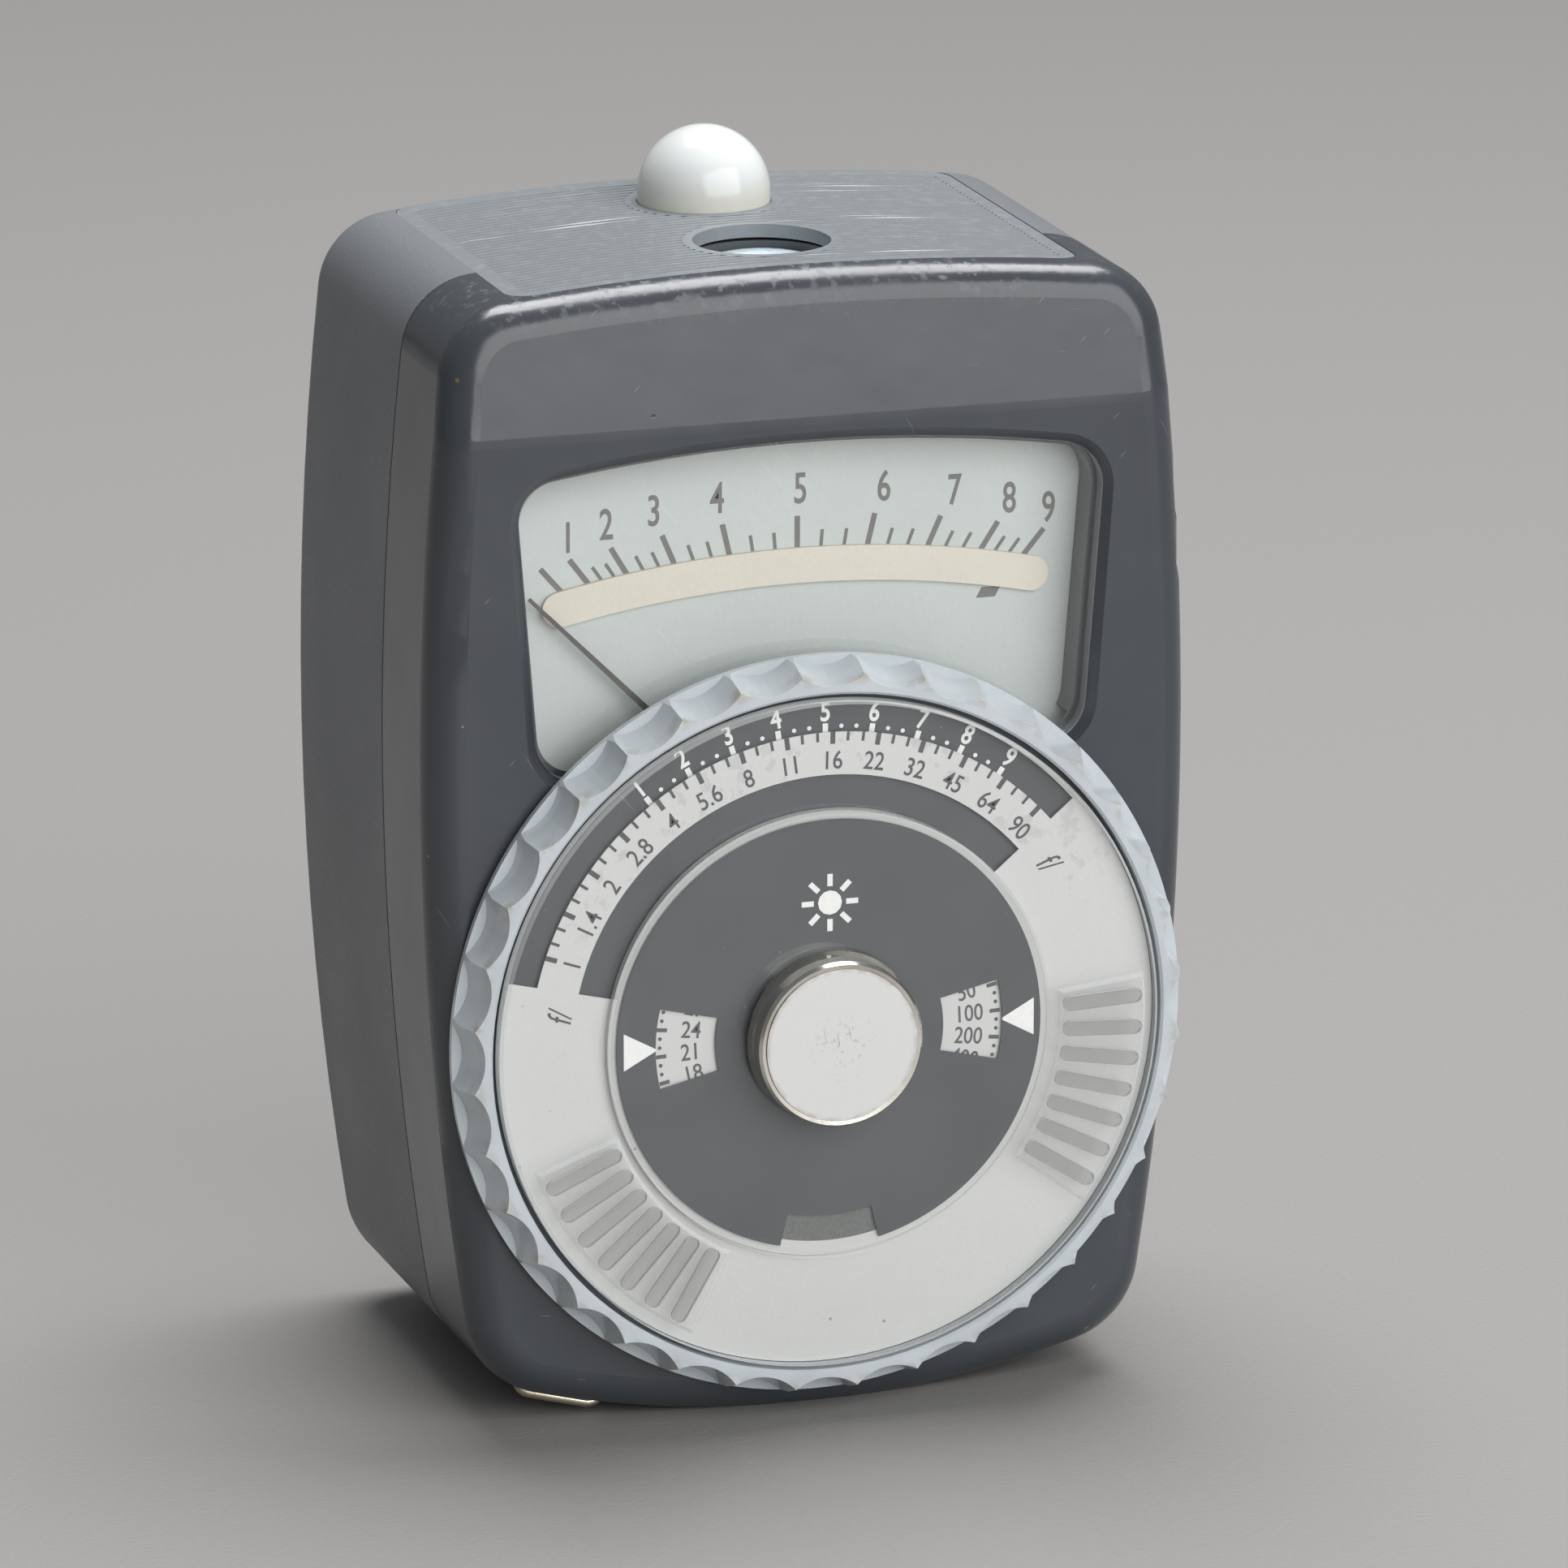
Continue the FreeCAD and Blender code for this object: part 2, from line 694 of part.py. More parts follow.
def balance_weight():
    weight = block(-0.8, 0.8, needle_back, needle_back + 0.8, -4.8, -3.0)
    weight.translate(point(0, 0, pivot_height))
    return turned(weight, needle_rest, 0, pivot_height)


# ---------------------------------------------------------------- movement
def moving_coil():
    """Rectangular coil round the core, square to the middle of the needle's swing."""
    front = yoke_front - coil_bar
    back = yoke_back + coil_bar
    half = coil_thickness / 2
    frame = block(-coil_half_width, coil_half_width, front, back, -half, half)
    frame = frame.cut(block(-coil_half_width + coil_bar, coil_half_width - coil_bar,
                            front + coil_bar - 0.3, back - coil_bar + 0.3, -far, far))
    frame.translate(point(0, 0, pivot_height))
    return turned(frame, -needle_swing / 2, 0, pivot_height)


def needle_pivots():
    """Front pivot, which carries the needle, and rear pivot; the core is between them."""
    front = drum(pivot_radius, needle_front - 0.2, yoke_front - coil_bar, 0, pivot_height)
    back = drum(pivot_radius, yoke_back + coil_bar, rear_bridge_back - 0.2, 0, pivot_height)
    return Part.makeCompound([front, back])


def magnet_core():
    core = drum(core_radius, yoke_front + 0.3, yoke_back - 0.3, 0, pivot_height)
    strut = block(-1.4, 1.4, yoke_front + 0.3, yoke_back - 0.3,
                  pivot_height - yoke_inner, pivot_height + yoke_inner)
    inside = drum(yoke_inner - 0.02, -far, far, 0, pivot_height)
    return core.fuse(strut.common(inside)).removeSplitter()


def pillar_strip(front, back, hole):
    """Flat strip between both pillars, with a hole for the screw at each end."""
    half = pillar_spacing + pillar_radius
    strip = rounded_strip(half, bridge_half_height, front, back)
    for side in (-1, 1):
        strip = strip.cut(drum(hole, -far, far, side * pillar_spacing, pivot_height))
    return strip


def rounded_strip(half, half_height, front, back):
    strip = block(-half, half, front, back, pivot_height - half_height, pivot_height + half_height)
    return strip.makeFillet(half_height * 0.9, [e for e in strip.Edges if runs_along_y(e)])


def yoke_ring():
    ears = pillar_strip(yoke_front, yoke_back, 0.9)
    solid = ears.fuse(drum(yoke_outer, yoke_front, yoke_back, 0, pivot_height))
    return solid.cut(drum(yoke_inner, -far, far, 0, pivot_height)).removeSplitter()


def front_bridge():
    strip = pillar_strip(bridge_front_back - bridge_thickness, bridge_front_back, 0.9)
    return strip.cut(drum(pivot_radius + 0.07, -far, far, 0, pivot_height))


def rear_bridge():
    strip = pillar_strip(rear_bridge_front, rear_bridge_back, 0.9)
    return strip.cut(drum(pivot_radius + 0.07, -far, far, 0, pivot_height))


def movement_spacers():
    pairs = [(bridge_front_back, yoke_front), (yoke_back, rear_bridge_front)]
    return Part.makeCompound([tube(0.9, pillar_radius - 0.3, front, back, side * pillar_spacing,
                                   pivot_height) for side in (-1, 1) for front, back in pairs])


def movement_screws():
    screws = []
    for side in (-1, 1):
        shank = drum(0.78, front_inner + 1, rear_bridge_back, side * pillar_spacing, pivot_height)
        head = drum(1.6, rear_bridge_back, rear_bridge_back + 0.9, side * pillar_spacing,
                    pivot_height)
        slot = block(side * pillar_spacing - 2, side * pillar_spacing + 2,
                     rear_bridge_back + 0.5, far, pivot_height - 0.2, pivot_height + 0.2)
        screws.append(shank.fuse(head).cut(slot))
    return Part.makeCompound(screws)


def hairspring(front):
    """Flat spiral strip built from half circles about two centres."""
    step = hairspring_pitch / 2
    sides = []
    for extra in (0.0, hairspring_strip):
        edges = []
        radius = hairspring_start
        centre = 0.0
        for half_turn in range(2 * hairspring_turns):
            start = 90 + 180 * half_turn
            edges.append(arc(radius + extra, start, start + 180, front, centre, pivot_height))
            centre += -step if half_turn % 2 else step
            radius += step
        sides.append(edges)
    inner, outer = sides
    ends = [Part.makeLine(inner[i].Vertexes[k].Point, outer[i].Vertexes[k].Point)
            for i, k in ((0, 0), (-1, -1))]
    face = Part.Face(Part.Wire(Part.__sortEdges__(inner + outer + ends)))
    return face.extrude(point(0, 0.3, 0))


# ---------------------------------------------------------------- dial
def scalloped_ring():
    """Hand ring: smooth at its back edge, with scooped flutes that deepen towards the front."""
    small = ring_radius - ring_taper
    seat = disc_radius + disc_gap
    profile = [(seat - 1.4, ring_back), (ring_radius, ring_back), (ring_radius, ring_back - 0.6),
               (small, ring_front + 0.3), (small - 0.3, ring_front), (seat + 0.2, ring_front),
               (seat, ring_front + 0.2), (seat, reading_back), (seat - 1.4, reading_back)]
    corners = [point(r, y, 0) for r, y in profile]
    body = Part.Face(Part.makePolygon(corners + corners[:1])).revolve(point(0, 0, 0), Y_AXIS, 360)
    body = Part.Solid(body.Shells[0]) if body.ShapeType != "Solid" else body
    start = point(ring_radius - flute_depth_back + flute_radius, ring_back - 0.6, 0)
    finish = point(small - flute_depth_front + flute_radius, ring_front, 0)
    direction = finish - start
    scoop = Part.makeCylinder(flute_radius, direction.Length + 3, start, direction)
    scoop = scoop.common(block(-far, far, -far, ring_back - 0.6, -far, far))
    pitch = 360.0 / flute_count
    scoops = [turned(scoop, pitch * (index + 0.05)) for index in range(flute_count)]
    body = body.cut(scoops)
    body.translate(point(0, 0, dial_height))
    return body


def reading_disc():
    """Dark disc with the reading scale, on a hub that turns on the spindle."""
    outer = disc_radius + disc_gap - 0.02
    disc = drum(outer, reading_front, reading_back, 0, dial_height)
    disc = disc.fuse(drum(spindle_radius + 2.0, reading_front, front_face - 0.65, 0, dial_height))
    return disc.cut(drum(spindle_radius + fit_gap, -far, far, 0, dial_height))


def film_windows(front, back):
    """The two clear arcs of the f-number disc: at its edge and inside its number band."""
    return [sector(disc_radius - far_edge, disc_radius - near_edge,
                   film_offset - window_half_angle, film_offset + window_half_angle,
                   front, back, 0, dial_height)
            for near_edge, far_edge in (edge_window, band_window)]


def aperture_print():
    """Silver layer on the back of the clear disc, open at the two windows."""
    layer = tube(inner_radius + 0.1, disc_radius - 0.05, film_seat + glue_gap, film_back,
                 0, dial_height)
    return layer.cut(film_windows(film_seat - 1, film_back + 1))


def grip_grooves():
    """Rows of rounded slots in both finger pads."""
    grooves = []
    depth = grip_pad
    for side in (-1, 1):
        for index in range(grip_count):
            angle = film_offset + side * (grip_angle + (index - (grip_count - 1) / 2) * grip_step)
            ends = [drum(grip_width / 2, aperture_front - depth - 1, aperture_front, 0, radius)
                    for radius in (grip_inner, grip_outer)]
            middle = block(-grip_width / 2, grip_width / 2, aperture_front - depth - 1,
                           aperture_front, grip_inner, grip_outer)
            groove = middle.fuse(ends)
            groove.translate(point(0, 0, dial_height))
            grooves.append(turned(groove, angle, 0, dial_height))
    return grooves


def aperture_disc():
    """Clear turning disc with two raised, grooved finger pads; its core seats the speed disc."""
    disc = tube(inner_radius + 0.2, disc_radius, aperture_front, film_seat, 0, dial_height)
    rim = [e for e in disc.Edges if abs(e.BoundBox.YMax - aperture_front) < 0.01
           and e.BoundBox.XLength > 2 * disc_radius - 1]
    disc = disc.makeChamfer(0.25, rim)
    reach = grip_step * grip_count / 2 + 1.0
    for side in (-1, 1):
        middle = film_offset + side * grip_angle
        pad = sector(grip_inner - 0.9, grip_outer + 0.9, middle - reach, middle + reach,
                     aperture_front - grip_pad, aperture_front + 0.5, 0, dial_height)
        top = [e for e in pad.Edges if abs(e.BoundBox.YMax - (aperture_front - grip_pad)) < 0.01]
        disc = disc.fuse(pad.makeChamfer(grip_pad * 0.8, top))
    return disc.cut(grip_grooves())


def speed_disc():
    """Film speed disc, glued inside the clear disc so that both turn together."""
    disc = drum(inner_radius + 0.18, speed_front, film_seat, 0, dial_height)
    hub = drum(spindle_radius + 1.2, speed_front, film_back, 0, dial_height)
    return disc.fuse(hub).cut(drum(spindle_radius + fit_gap, -far, far, 0, dial_height))


def inner_print():
    """Dark layer on the back of the fixed inner disc, with a window for each speed scale."""
    inner, outer = speed_window_radii
    layer = drum(inner_radius - 0.45, inner_back + glue_gap, inner_back + print_thickness,
                 0, dial_height)
    windows = [sector(inner, outer, side * 90 - speed_window_half_angle,
                      side * 90 + speed_window_half_angle, -far, far, 0, dial_height)
               for side in (-1, 1)]
    windows.append(sector(inner_radius - notch_depth, inner_radius + 1, 180 - notch_half_angle,
                          180 + notch_half_angle, -far, far, 0, dial_height))
    return layer.cut(windows + [square_key(0.0)])


def inner_disc():
    """Fixed clear disc with a bevelled rim, keyed to the spindle."""
    disc = drum(inner_radius, inner_front, inner_back, 0, dial_height)
    rim = [e for e in disc.Edges if abs(e.BoundBox.YMax - inner_front) < 0.01]
    return disc.makeChamfer(0.35, rim).cut(square_key(0.0))


def square_key(grow):
    half = spindle_key / 2 + grow
    return block(-half, half, -far, far, dial_height - half, dial_height + half)


def dial_spindle():
    """Fixed spindle: flange inside the wall, round shank, square nose with a tapped hole."""
    flange = drum(5.5, front_inner, front_inner + 1.0, 0, dial_height)
    nose_back = inner_back + print_thickness
    shank = drum(spindle_radius, nose_back, front_inner, 0, dial_height)
    nose = block(-spindle_key / 2, spindle_key / 2, inner_front - 0.5, nose_back,
                 dial_height - spindle_key / 2, dial_height + spindle_key / 2)
    nose = nose.common(square_key(-0.02))
    solid = flange.fuse([shank, nose])
    return solid.cut(drum(0.75, -far, front_inner - 1, 0, dial_height))


def wave_washer():
    """Sprung washer behind the dial, which gives it its drag."""
    return tube(spindle_radius + 0.2, spindle_radius + 2.6, front_face - 0.55,
                front_face - 0.1, 0, dial_height)


def hub_bezel():
    """Bright rim of the hub, with a dark flare where it meets the inner disc."""
    inner = hub_radius - hub_rim
    flare_front = inner_front - 0.5
    profile = [(inner, inner_front), (hub_radius + hub_flare, inner_front),
               (hub_radius + hub_flare * 0.45, flare_front), (hub_radius, flare_front - 0.35),
               (hub_radius, hub_front + 0.35), (hub_radius - 0.2, hub_front + 0.05),
               (inner, hub_front + 0.1)]
    corners = [point(r, y, 0) for r, y in profile]
    body = Part.Face(Part.makePolygon(corners + corners[:1])).revolve(point(0, 0, 0), Y_AXIS, 360)
    body = Part.Solid(body.Shells[0]) if body.ShapeType != "Solid" else body
    body.translate(point(0, 0, dial_height))
    return body


def hub_cap():
    cap = drum(hub_radius - hub_rim - 0.03, hub_front, inner_front, 0, dial_height)
    return cap.cut(drum(4.0, hub_front + 1.0, inner_front + 1, 0, dial_height))


def hub_screw():
    shank = drum(0.73, inner_front - 0.6, front_face - 0.5, 0, dial_height)
    head = drum(2.9, inner_front - 1.15, inner_front - 0.5, 0, dial_height)
    slot = block(-3.5, 3.5, -far, inner_front - 0.85, dial_height - 0.25, dial_height + 0.25)
    return head.fuse(shank).cut(slot)


# ---------------------------------------------------------------- battery, switch and adjusters
def battery():
    can = drum(battery_radius, battery_front + 0.6, battery_back, 0, battery_rise)
    return can.fuse(drum(battery_radius - 1.8, battery_front, battery_back, 0, battery_rise))


def battery_contact():
    """Sprung strip that bears on the front of the battery."""
    strip = block(-2.0, 2.0, battery_front - 0.9, battery_front - 0.5, battery_rise - 6.5,
                  battery_rise + 6.5)
    return strip.fuse(drum(1.6, battery_front - 0.6, battery_front - 0.02, 0, battery_rise))


def battery_cap():
    """Quarter-turn cap with a coin slot and two bayonet lugs behind the wall."""
    cap = drum(cap_radius, cap_front, rear_face - 0.15, 0, battery_rise)
    lugs = [turned(sector(cap_radius - 1, cap_radius + cap_lug, -cap_lug_half_angle,
                          cap_lug_half_angle, cap_front, rear_inner - 0.2, 0, battery_rise),
                   side, 0, battery_rise) for side in (0, 180)]
    slot = block(-6.0, 6.0, rear_face - 1.4, far, battery_rise - 0.9, battery_rise + 0.9)
    return cap.fuse(lugs).cut(slot)


def zero_screw():
    """Slotted screw whose eccentric pin shifts the hairspring's stop."""
    head = drum(zero_head_radius, rear_face - 1.25, rear_face - 0.1, 0, zero_height)
    shaft = drum(zero_shaft_radius, rear_bridge_back + 2.0, rear_face - 1.2, 0, zero_height)
    pin = drum(0.4, rear_bridge_back + 0.3, rear_bridge_back + 2.2, 0, zero_height - zero_throw)
    slot = block(-3, 3, rear_face - 0.7, far, zero_height - 0.3, zero_height + 0.3)
    return head.fuse([shaft, pin]).cut(slot)


def zero_lever():
    """Forked lever behind the rear bridge that the eccentric pin swings."""
    front = rear_bridge_back + 0.4
    back = front + 0.5
    boss = drum(1.8, front, back, 0, pivot_height)
    arm = block(-1.2, 1.2, front, back, pivot_height, pivot_height + zero_rise + 0.9)
    fork = block(-0.48, 0.48, -far, far, pivot_height + zero_rise - 1.6, far)
    return boss.fuse(arm).cut([fork, drum(0.6, -far, far, 0, pivot_height)])


def rear_jewel():
    """Jewel screw in the rear bridge; the zero lever turns on its nose."""
    nose = drum(0.53, rear_bridge_back + 0.02, rear_bridge_back + 1.4, 0, pivot_height)
    head = drum(1.3, rear_bridge_back + 1.1, rear_bridge_back + 1.6, 0, pivot_height)
    return nose.fuse(head)


def circuit_board():
    board = block(-22, 22, rear_bridge_back + 8.0, rear_bridge_back + 9.4, window_bottom,
                  screw_top_rise - post_radius - 1.0)
    return board


def board_parts():
    """One row on the board's front: a capacitor, two trimmers and two transistors."""
    face = rear_bridge_back + 8.0
    middle = (window_bottom + screw_top_rise - post_radius - 1.0) / 2
    capacitor = Part.makeCylinder(3.4, 16.0, point(-20, face - 3.45, middle), point(1, 0, 0))
    trimmers = [drum(2.6, face - 2.0, face - 0.02, x, middle) for x in (0.0, 6.0)]
    transistors = [drum(2.3, face - 4.0, face - 0.02, x, middle) for x in (12.0, 18.0)]
    return Part.makeCompound([capacitor] + trimmers + transistors)


def measuring_button():
    """Domed push button in the right-hand side, with a flange inside the wall."""
    tip = button_face + button_proud
    crown = 5.0
    root = point(button_root, button_y, button_rise)
    inward = point(1, 0, 0)
    stem = Part.makeCylinder(button_radius, tip - button_root, root, inward)
    ball = Part.makeSphere(crown, point(tip - crown, button_y, button_rise))
    sleeve = Part.makeCylinder(button_radius + 1, tip - button_root - 1.0, root, inward)
    stem = stem.common(ball.fuse(sleeve))
    return stem.fuse(Part.makeCylinder(button_radius + 0.5, 0.8, root, inward))


def switch_block():
    """Fixed contact block behind the button."""
    return block(switch_left - 3.0, switch_left, button_y - 2.5, button_y + 2.5,
                 button_rise - 3.0, button_rise + 3.0)


def switch_spring():
    """Bent leaf between the contact block and the button."""
    leaf = 0.3
    left = switch_left + 0.02
    right = button_root - 0.05
    low = button_rise - 2.4
    front = button_y - 1.5
    back = button_y + 1.5
    fixed = block(left, left + leaf, front, back, low, button_rise + 2.4)
    bend = block(left, right, front, back, low, low + leaf)
    free = block(right - leaf, right, front, back, low, button_rise + 1.8)
    return fixed.fuse([bend, free]).removeSplitter()


def case_screws():
    screws = []
    for x, z in screw_places():
        head = drum(screw_head_radius, rear_face - 1.45, rear_face - 0.3, x, z)
        shank = drum(screw_radius - 0.02, front_inner + 4.0, rear_face - 1.45, x, z)
        slot = block(x - 3, x + 3, rear_face - 0.8, far, z - 0.3, z + 0.3)
        screws.append(head.fuse(shank).cut(slot))
    return Part.makeCompound(screws)


PIECES = {
    "front_casing": front_casing,
    "rear_casing": rear_casing,
    "top_plate": top_plate,
    "diffuser_dome": diffuser_dome,
    "cell_tube": cell_tube,
    "cell_lens": cell_lens,
    "reflected_photocell": reflected_photocell,
    "incident_photocell": incident_photocell,
    "scale_window": scale_window,
    "scale_plate": scale_plate,
    "scale_strip": scale_strip,
    "needle": needle,
    "balance_weight": balance_weight,
    "moving_coil": moving_coil,
    "needle_pivots": needle_pivots,
    "magnet_core": magnet_core,
    "yoke_ring": yoke_ring,
    "front_bridge": front_bridge,
    "rear_bridge": rear_bridge,
    "movement_spacers": movement_spacers,
    "movement_screws": movement_screws,
    "front_hairspring": lambda: hairspring(bridge_front_back + 0.4),
    "rear_hairspring": lambda: hairspring(rear_bridge_front - 0.5),
    "rear_jewel": rear_jewel,
    "zero_lever": zero_lever,
    "zero_screw": zero_screw,
    "scalloped_ring": scalloped_ring,
    "reading_disc": reading_disc,
    "aperture_print": aperture_print,
    "aperture_disc": aperture_disc,
    "speed_disc": speed_disc,
    "inner_print": inner_print,
    "inner_disc": inner_disc,
    "dial_spindle": dial_spindle,
    "wave_washer": wave_washer,
    "hub_bezel": hub_bezel,
    "hub_cap": hub_cap,
    "hub_screw": hub_screw,
    "battery": battery,
    "battery_contact": battery_contact,
    "battery_cap": battery_cap,
    "circuit_board": circuit_board,
    "board_parts": board_parts,
    "measuring_button": measuring_button,
    "switch_block": switch_block,
    "switch_spring": switch_spring,
    "case_screws": case_screws,
    "strap_loop": strap_loop,
}

os.makedirs("parts", exist_ok=True)
for name, make in PIECES.items():
    shape = make()
    shape.exportStep("parts/%s.step" % name)
    box = shape.BoundBox
    print("%-20s solids %d valid %s volume %9.2f  x %7.2f %7.2f  y %7.2f %7.2f  z %7.2f %7.2f" % (
        name, len(shape.Solids), shape.isValid(), shape.Volume,
        box.XMin, box.XMax, box.YMin, box.YMax, box.ZMin, box.ZMax))
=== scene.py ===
"""Looks of a hand-held exposure meter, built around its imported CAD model.

Everything is in metres, in the CAD's frame: X to the right, Y into the meter, Z up.
Angles on the dial and the scale are degrees clockwise from the top, seen from the front.
"""
import math

import bpy
from bpy.props import FloatProperty, FloatVectorProperty, PointerProperty
from mathutils import Matrix, Vector


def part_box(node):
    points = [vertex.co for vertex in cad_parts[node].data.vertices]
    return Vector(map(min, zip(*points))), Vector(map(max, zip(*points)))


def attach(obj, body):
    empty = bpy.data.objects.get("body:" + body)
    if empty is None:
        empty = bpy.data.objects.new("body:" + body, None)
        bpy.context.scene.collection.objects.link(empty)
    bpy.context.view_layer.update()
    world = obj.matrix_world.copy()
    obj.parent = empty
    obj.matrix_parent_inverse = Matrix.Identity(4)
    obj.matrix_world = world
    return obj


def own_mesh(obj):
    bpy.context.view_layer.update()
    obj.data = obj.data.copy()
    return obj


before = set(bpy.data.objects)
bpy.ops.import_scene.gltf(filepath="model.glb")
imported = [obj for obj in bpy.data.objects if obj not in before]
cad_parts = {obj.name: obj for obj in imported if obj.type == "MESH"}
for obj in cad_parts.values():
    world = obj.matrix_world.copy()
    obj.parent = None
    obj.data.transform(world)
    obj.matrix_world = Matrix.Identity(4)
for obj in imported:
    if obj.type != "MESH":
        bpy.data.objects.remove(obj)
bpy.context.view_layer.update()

bl_info = {
    "name": "Exposure Meter Looks",
    "version": (1, 0, 0),
    "blender": (4, 5, 0),
    "location": "View3D > Sidebar > Meter",
    "description": "Finishes, printed scales and a studio stage for a hand-held exposure meter",
    "category": "Object",
}

MM = 0.001


def linear(code):
    """Turns an sRGB hex colour into linear red, green, blue and alpha."""
    parts = [int(code[i:i + 2], 16) / 255 for i in (1, 3, 5)]
    return (*(c / 12.92 if c <= 0.04045 else ((c + 0.055) / 1.055) ** 2.4 for c in parts), 1.0)


def node_middle(name):
    """The middle of a CAD node's box."""
    low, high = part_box(name)
    return (low + high) / 2


# ---------------------------------------------------------------- places read from the frame
DIAL = node_middle("hub_cap")
READING_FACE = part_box("reading_disc")[0].y
APERTURE_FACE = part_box("aperture_print")[0].y
SPEED_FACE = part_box("speed_disc")[0].y
INNER_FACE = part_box("inner_print")[0].y
CARD_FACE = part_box("scale_plate")[0].y
NEEDLE_PIVOT = node_middle("needle_pivots").z

# ---------------------------------------------------------------- where things are printed
STOP = 9  # the turn for one stop, on every scale of the dial
THIRDS = (1 / 3, 2 / 3)
APERTURE_START = -70.8  # f-number 1
APERTURE_SIGNS = (-82.3, 56.1)
SPEED_MIDDLES = (87.3, -83.8)  # the fifth film speed of the right and the left scale
PAD_MIDDLES = (-131.9, 104.9)
PAD_REACH = 21.4  # half of the turn that the slots of a finger pad take
PAD_BAND = (18.3 * MM, 24.6 * MM)
NEEDLE_ANGLES = (-41, -37, -31, -23, -13, 0, 13.5, 24.5, 33.4, 40)
STRIP_BOW = 87.0 * MM
DIGIT_SHARE = 0.73  # a digit's height over the size of the font


class MeterSettings(bpy.types.PropertyGroup):
    """Sizes and colours that a user of the meter would change."""

    front_colour: FloatVectorProperty(
        name="Front shell", description="Colour of the glossy front half of the casing",
        subtype="COLOR", size=4, min=0, max=1, default=linear("#3C4045"))
    rear_colour: FloatVectorProperty(
        name="Rear shell", description="Colour of the matte rear half of the casing",
        subtype="COLOR", size=4, min=0, max=1, default=linear("#696C70"))
    plate_colour: FloatVectorProperty(
        name="Top plate", description="Colour of the ribbed plate on the top",
        subtype="COLOR", size=4, min=0, max=1, default=linear("#7B8084"))
    ring_colour: FloatVectorProperty(
        name="Scalloped ring", description="Colour of the milky hand ring",
        subtype="COLOR", size=4, min=0, max=1, default=linear("#B9C0C4"))
    silver_colour: FloatVectorProperty(
        name="Silver print", description="Colour of the silvered parts of the dial",
        subtype="COLOR", size=4, min=0, max=1, default=linear("#D4D5D3"))
    dark_colour: FloatVectorProperty(
        name="Dark dial", description="Colour of the dark parts of the dial",
        subtype="COLOR", size=4, min=0, max=1, default=linear("#484B4F"))
    card_colour: FloatVectorProperty(
        name="Scale card", description="Colour of the card behind the needle",
        subtype="COLOR", size=4, min=0, max=1, default=linear("#C9D0CD"))
    strip_colour: FloatVectorProperty(
        name="Scale strip", description="Colour of the raised strip on the scale card",
        subtype="COLOR", size=4, min=0, max=1, default=linear("#DAD5C6"))
    ink_colour: FloatVectorProperty(
        name="Dark ink", description="Colour of the dark printed figures",
        subtype="COLOR", size=4, min=0, max=1, default=linear("#6F6D6A"))
    light_ink_colour: FloatVectorProperty(
        name="White ink", description="Colour of the white printed figures",
        subtype="COLOR", size=4, min=0, max=1, default=linear("#F0F1EE"))
    ink_thickness: FloatProperty(
        name="Ink thickness", description="How far the printing stands on its surface",
        unit="LENGTH", min=0.005 * MM, max=0.2 * MM, default=0.03 * MM)
    scale_figure: FloatProperty(
        name="Scale figures", description="Height of the figures on the scale card",
        unit="LENGTH", min=0.5 * MM, max=5 * MM, default=2.45 * MM)
    reading_figure: FloatProperty(
        name="Reading figures", description="Height of the white figures under the clear rim",
        unit="LENGTH", min=0.5 * MM, max=3 * MM, default=1.55 * MM)
    aperture_figure: FloatProperty(
        name="Aperture figures", description="Height of the aperture numbers",
        unit="LENGTH", min=0.5 * MM, max=3 * MM, default=1.45 * MM)
    speed_figure: FloatProperty(
        name="Film speed figures", description="Height of the figures in the two small windows",
        unit="LENGTH", min=0.5 * MM, max=3 * MM, default=1.35 * MM)
    wear: FloatProperty(
        name="Wear", description="How scratched and soiled the meter is",
        subtype="FACTOR", min=0, max=1, default=0.7)
    key_power: FloatProperty(
        name="Overhead light", description="Power of the large light above and behind",
        subtype="POWER", min=0, max=200, default=13.0)
    front_power: FloatProperty(
        name="Front light", description="Power of the wide light above the camera",
        subtype="POWER", min=0, max=200, default=16.0)
    floor_colour: FloatVectorProperty(
        name="Floor", description="Colour of the plain floor",
        subtype="COLOR", size=4, min=0, max=1, default=linear("#918F8D"))


# ---------------------------------------------------------------- making materials
def plug(tree, node, inputs):
    """Sets a node's inputs: a socket is linked, anything else is a value."""
    for key, value in inputs.items():
        socket = next((s for s in node.inputs if s.identifier == key), None) or node.inputs[key]
        if isinstance(value, bpy.types.NodeSocket):
            tree.links.new(value, socket)
        else:
            socket.default_value = value


def add(tree, kind, settings=None, inputs=None):
    """Adds one node with its settings and links."""
    node = tree.nodes.new(kind)
    for key, value in (settings or {}).items():
        setattr(node, key, value)
    plug(tree, node, inputs or {})
    return node


def blank(name):
    """Starts a material: gives it, its tree, its shader and the coordinates its patterns read."""
    material = bpy.data.materials.new(name)
    material.use_nodes = True
    tree = material.node_tree
    tree.nodes.clear()
    shader = add(tree, "ShaderNodeBsdfPrincipled")
    add(tree, "ShaderNodeOutputMaterial", inputs={"Surface": shader.outputs["BSDF"]})
    return material, tree, shader, add(tree, "ShaderNodeTexCoord").outputs["Object"]


def clouds(tree, place, size, low=0.35, high=0.65):
    """Soft blotches about `size` millimetres across, as a mask from 0 to 1."""
    noise = add(tree, "ShaderNodeTexNoise", inputs={
        "Vector": place, "Scale": 1 / (size * MM), "Detail": 3.0})
    return add(tree, "ShaderNodeMapRange", inputs={
        "Value": noise.outputs["Fac"], "From Min": low, "From Max": high}).outputs["Result"]


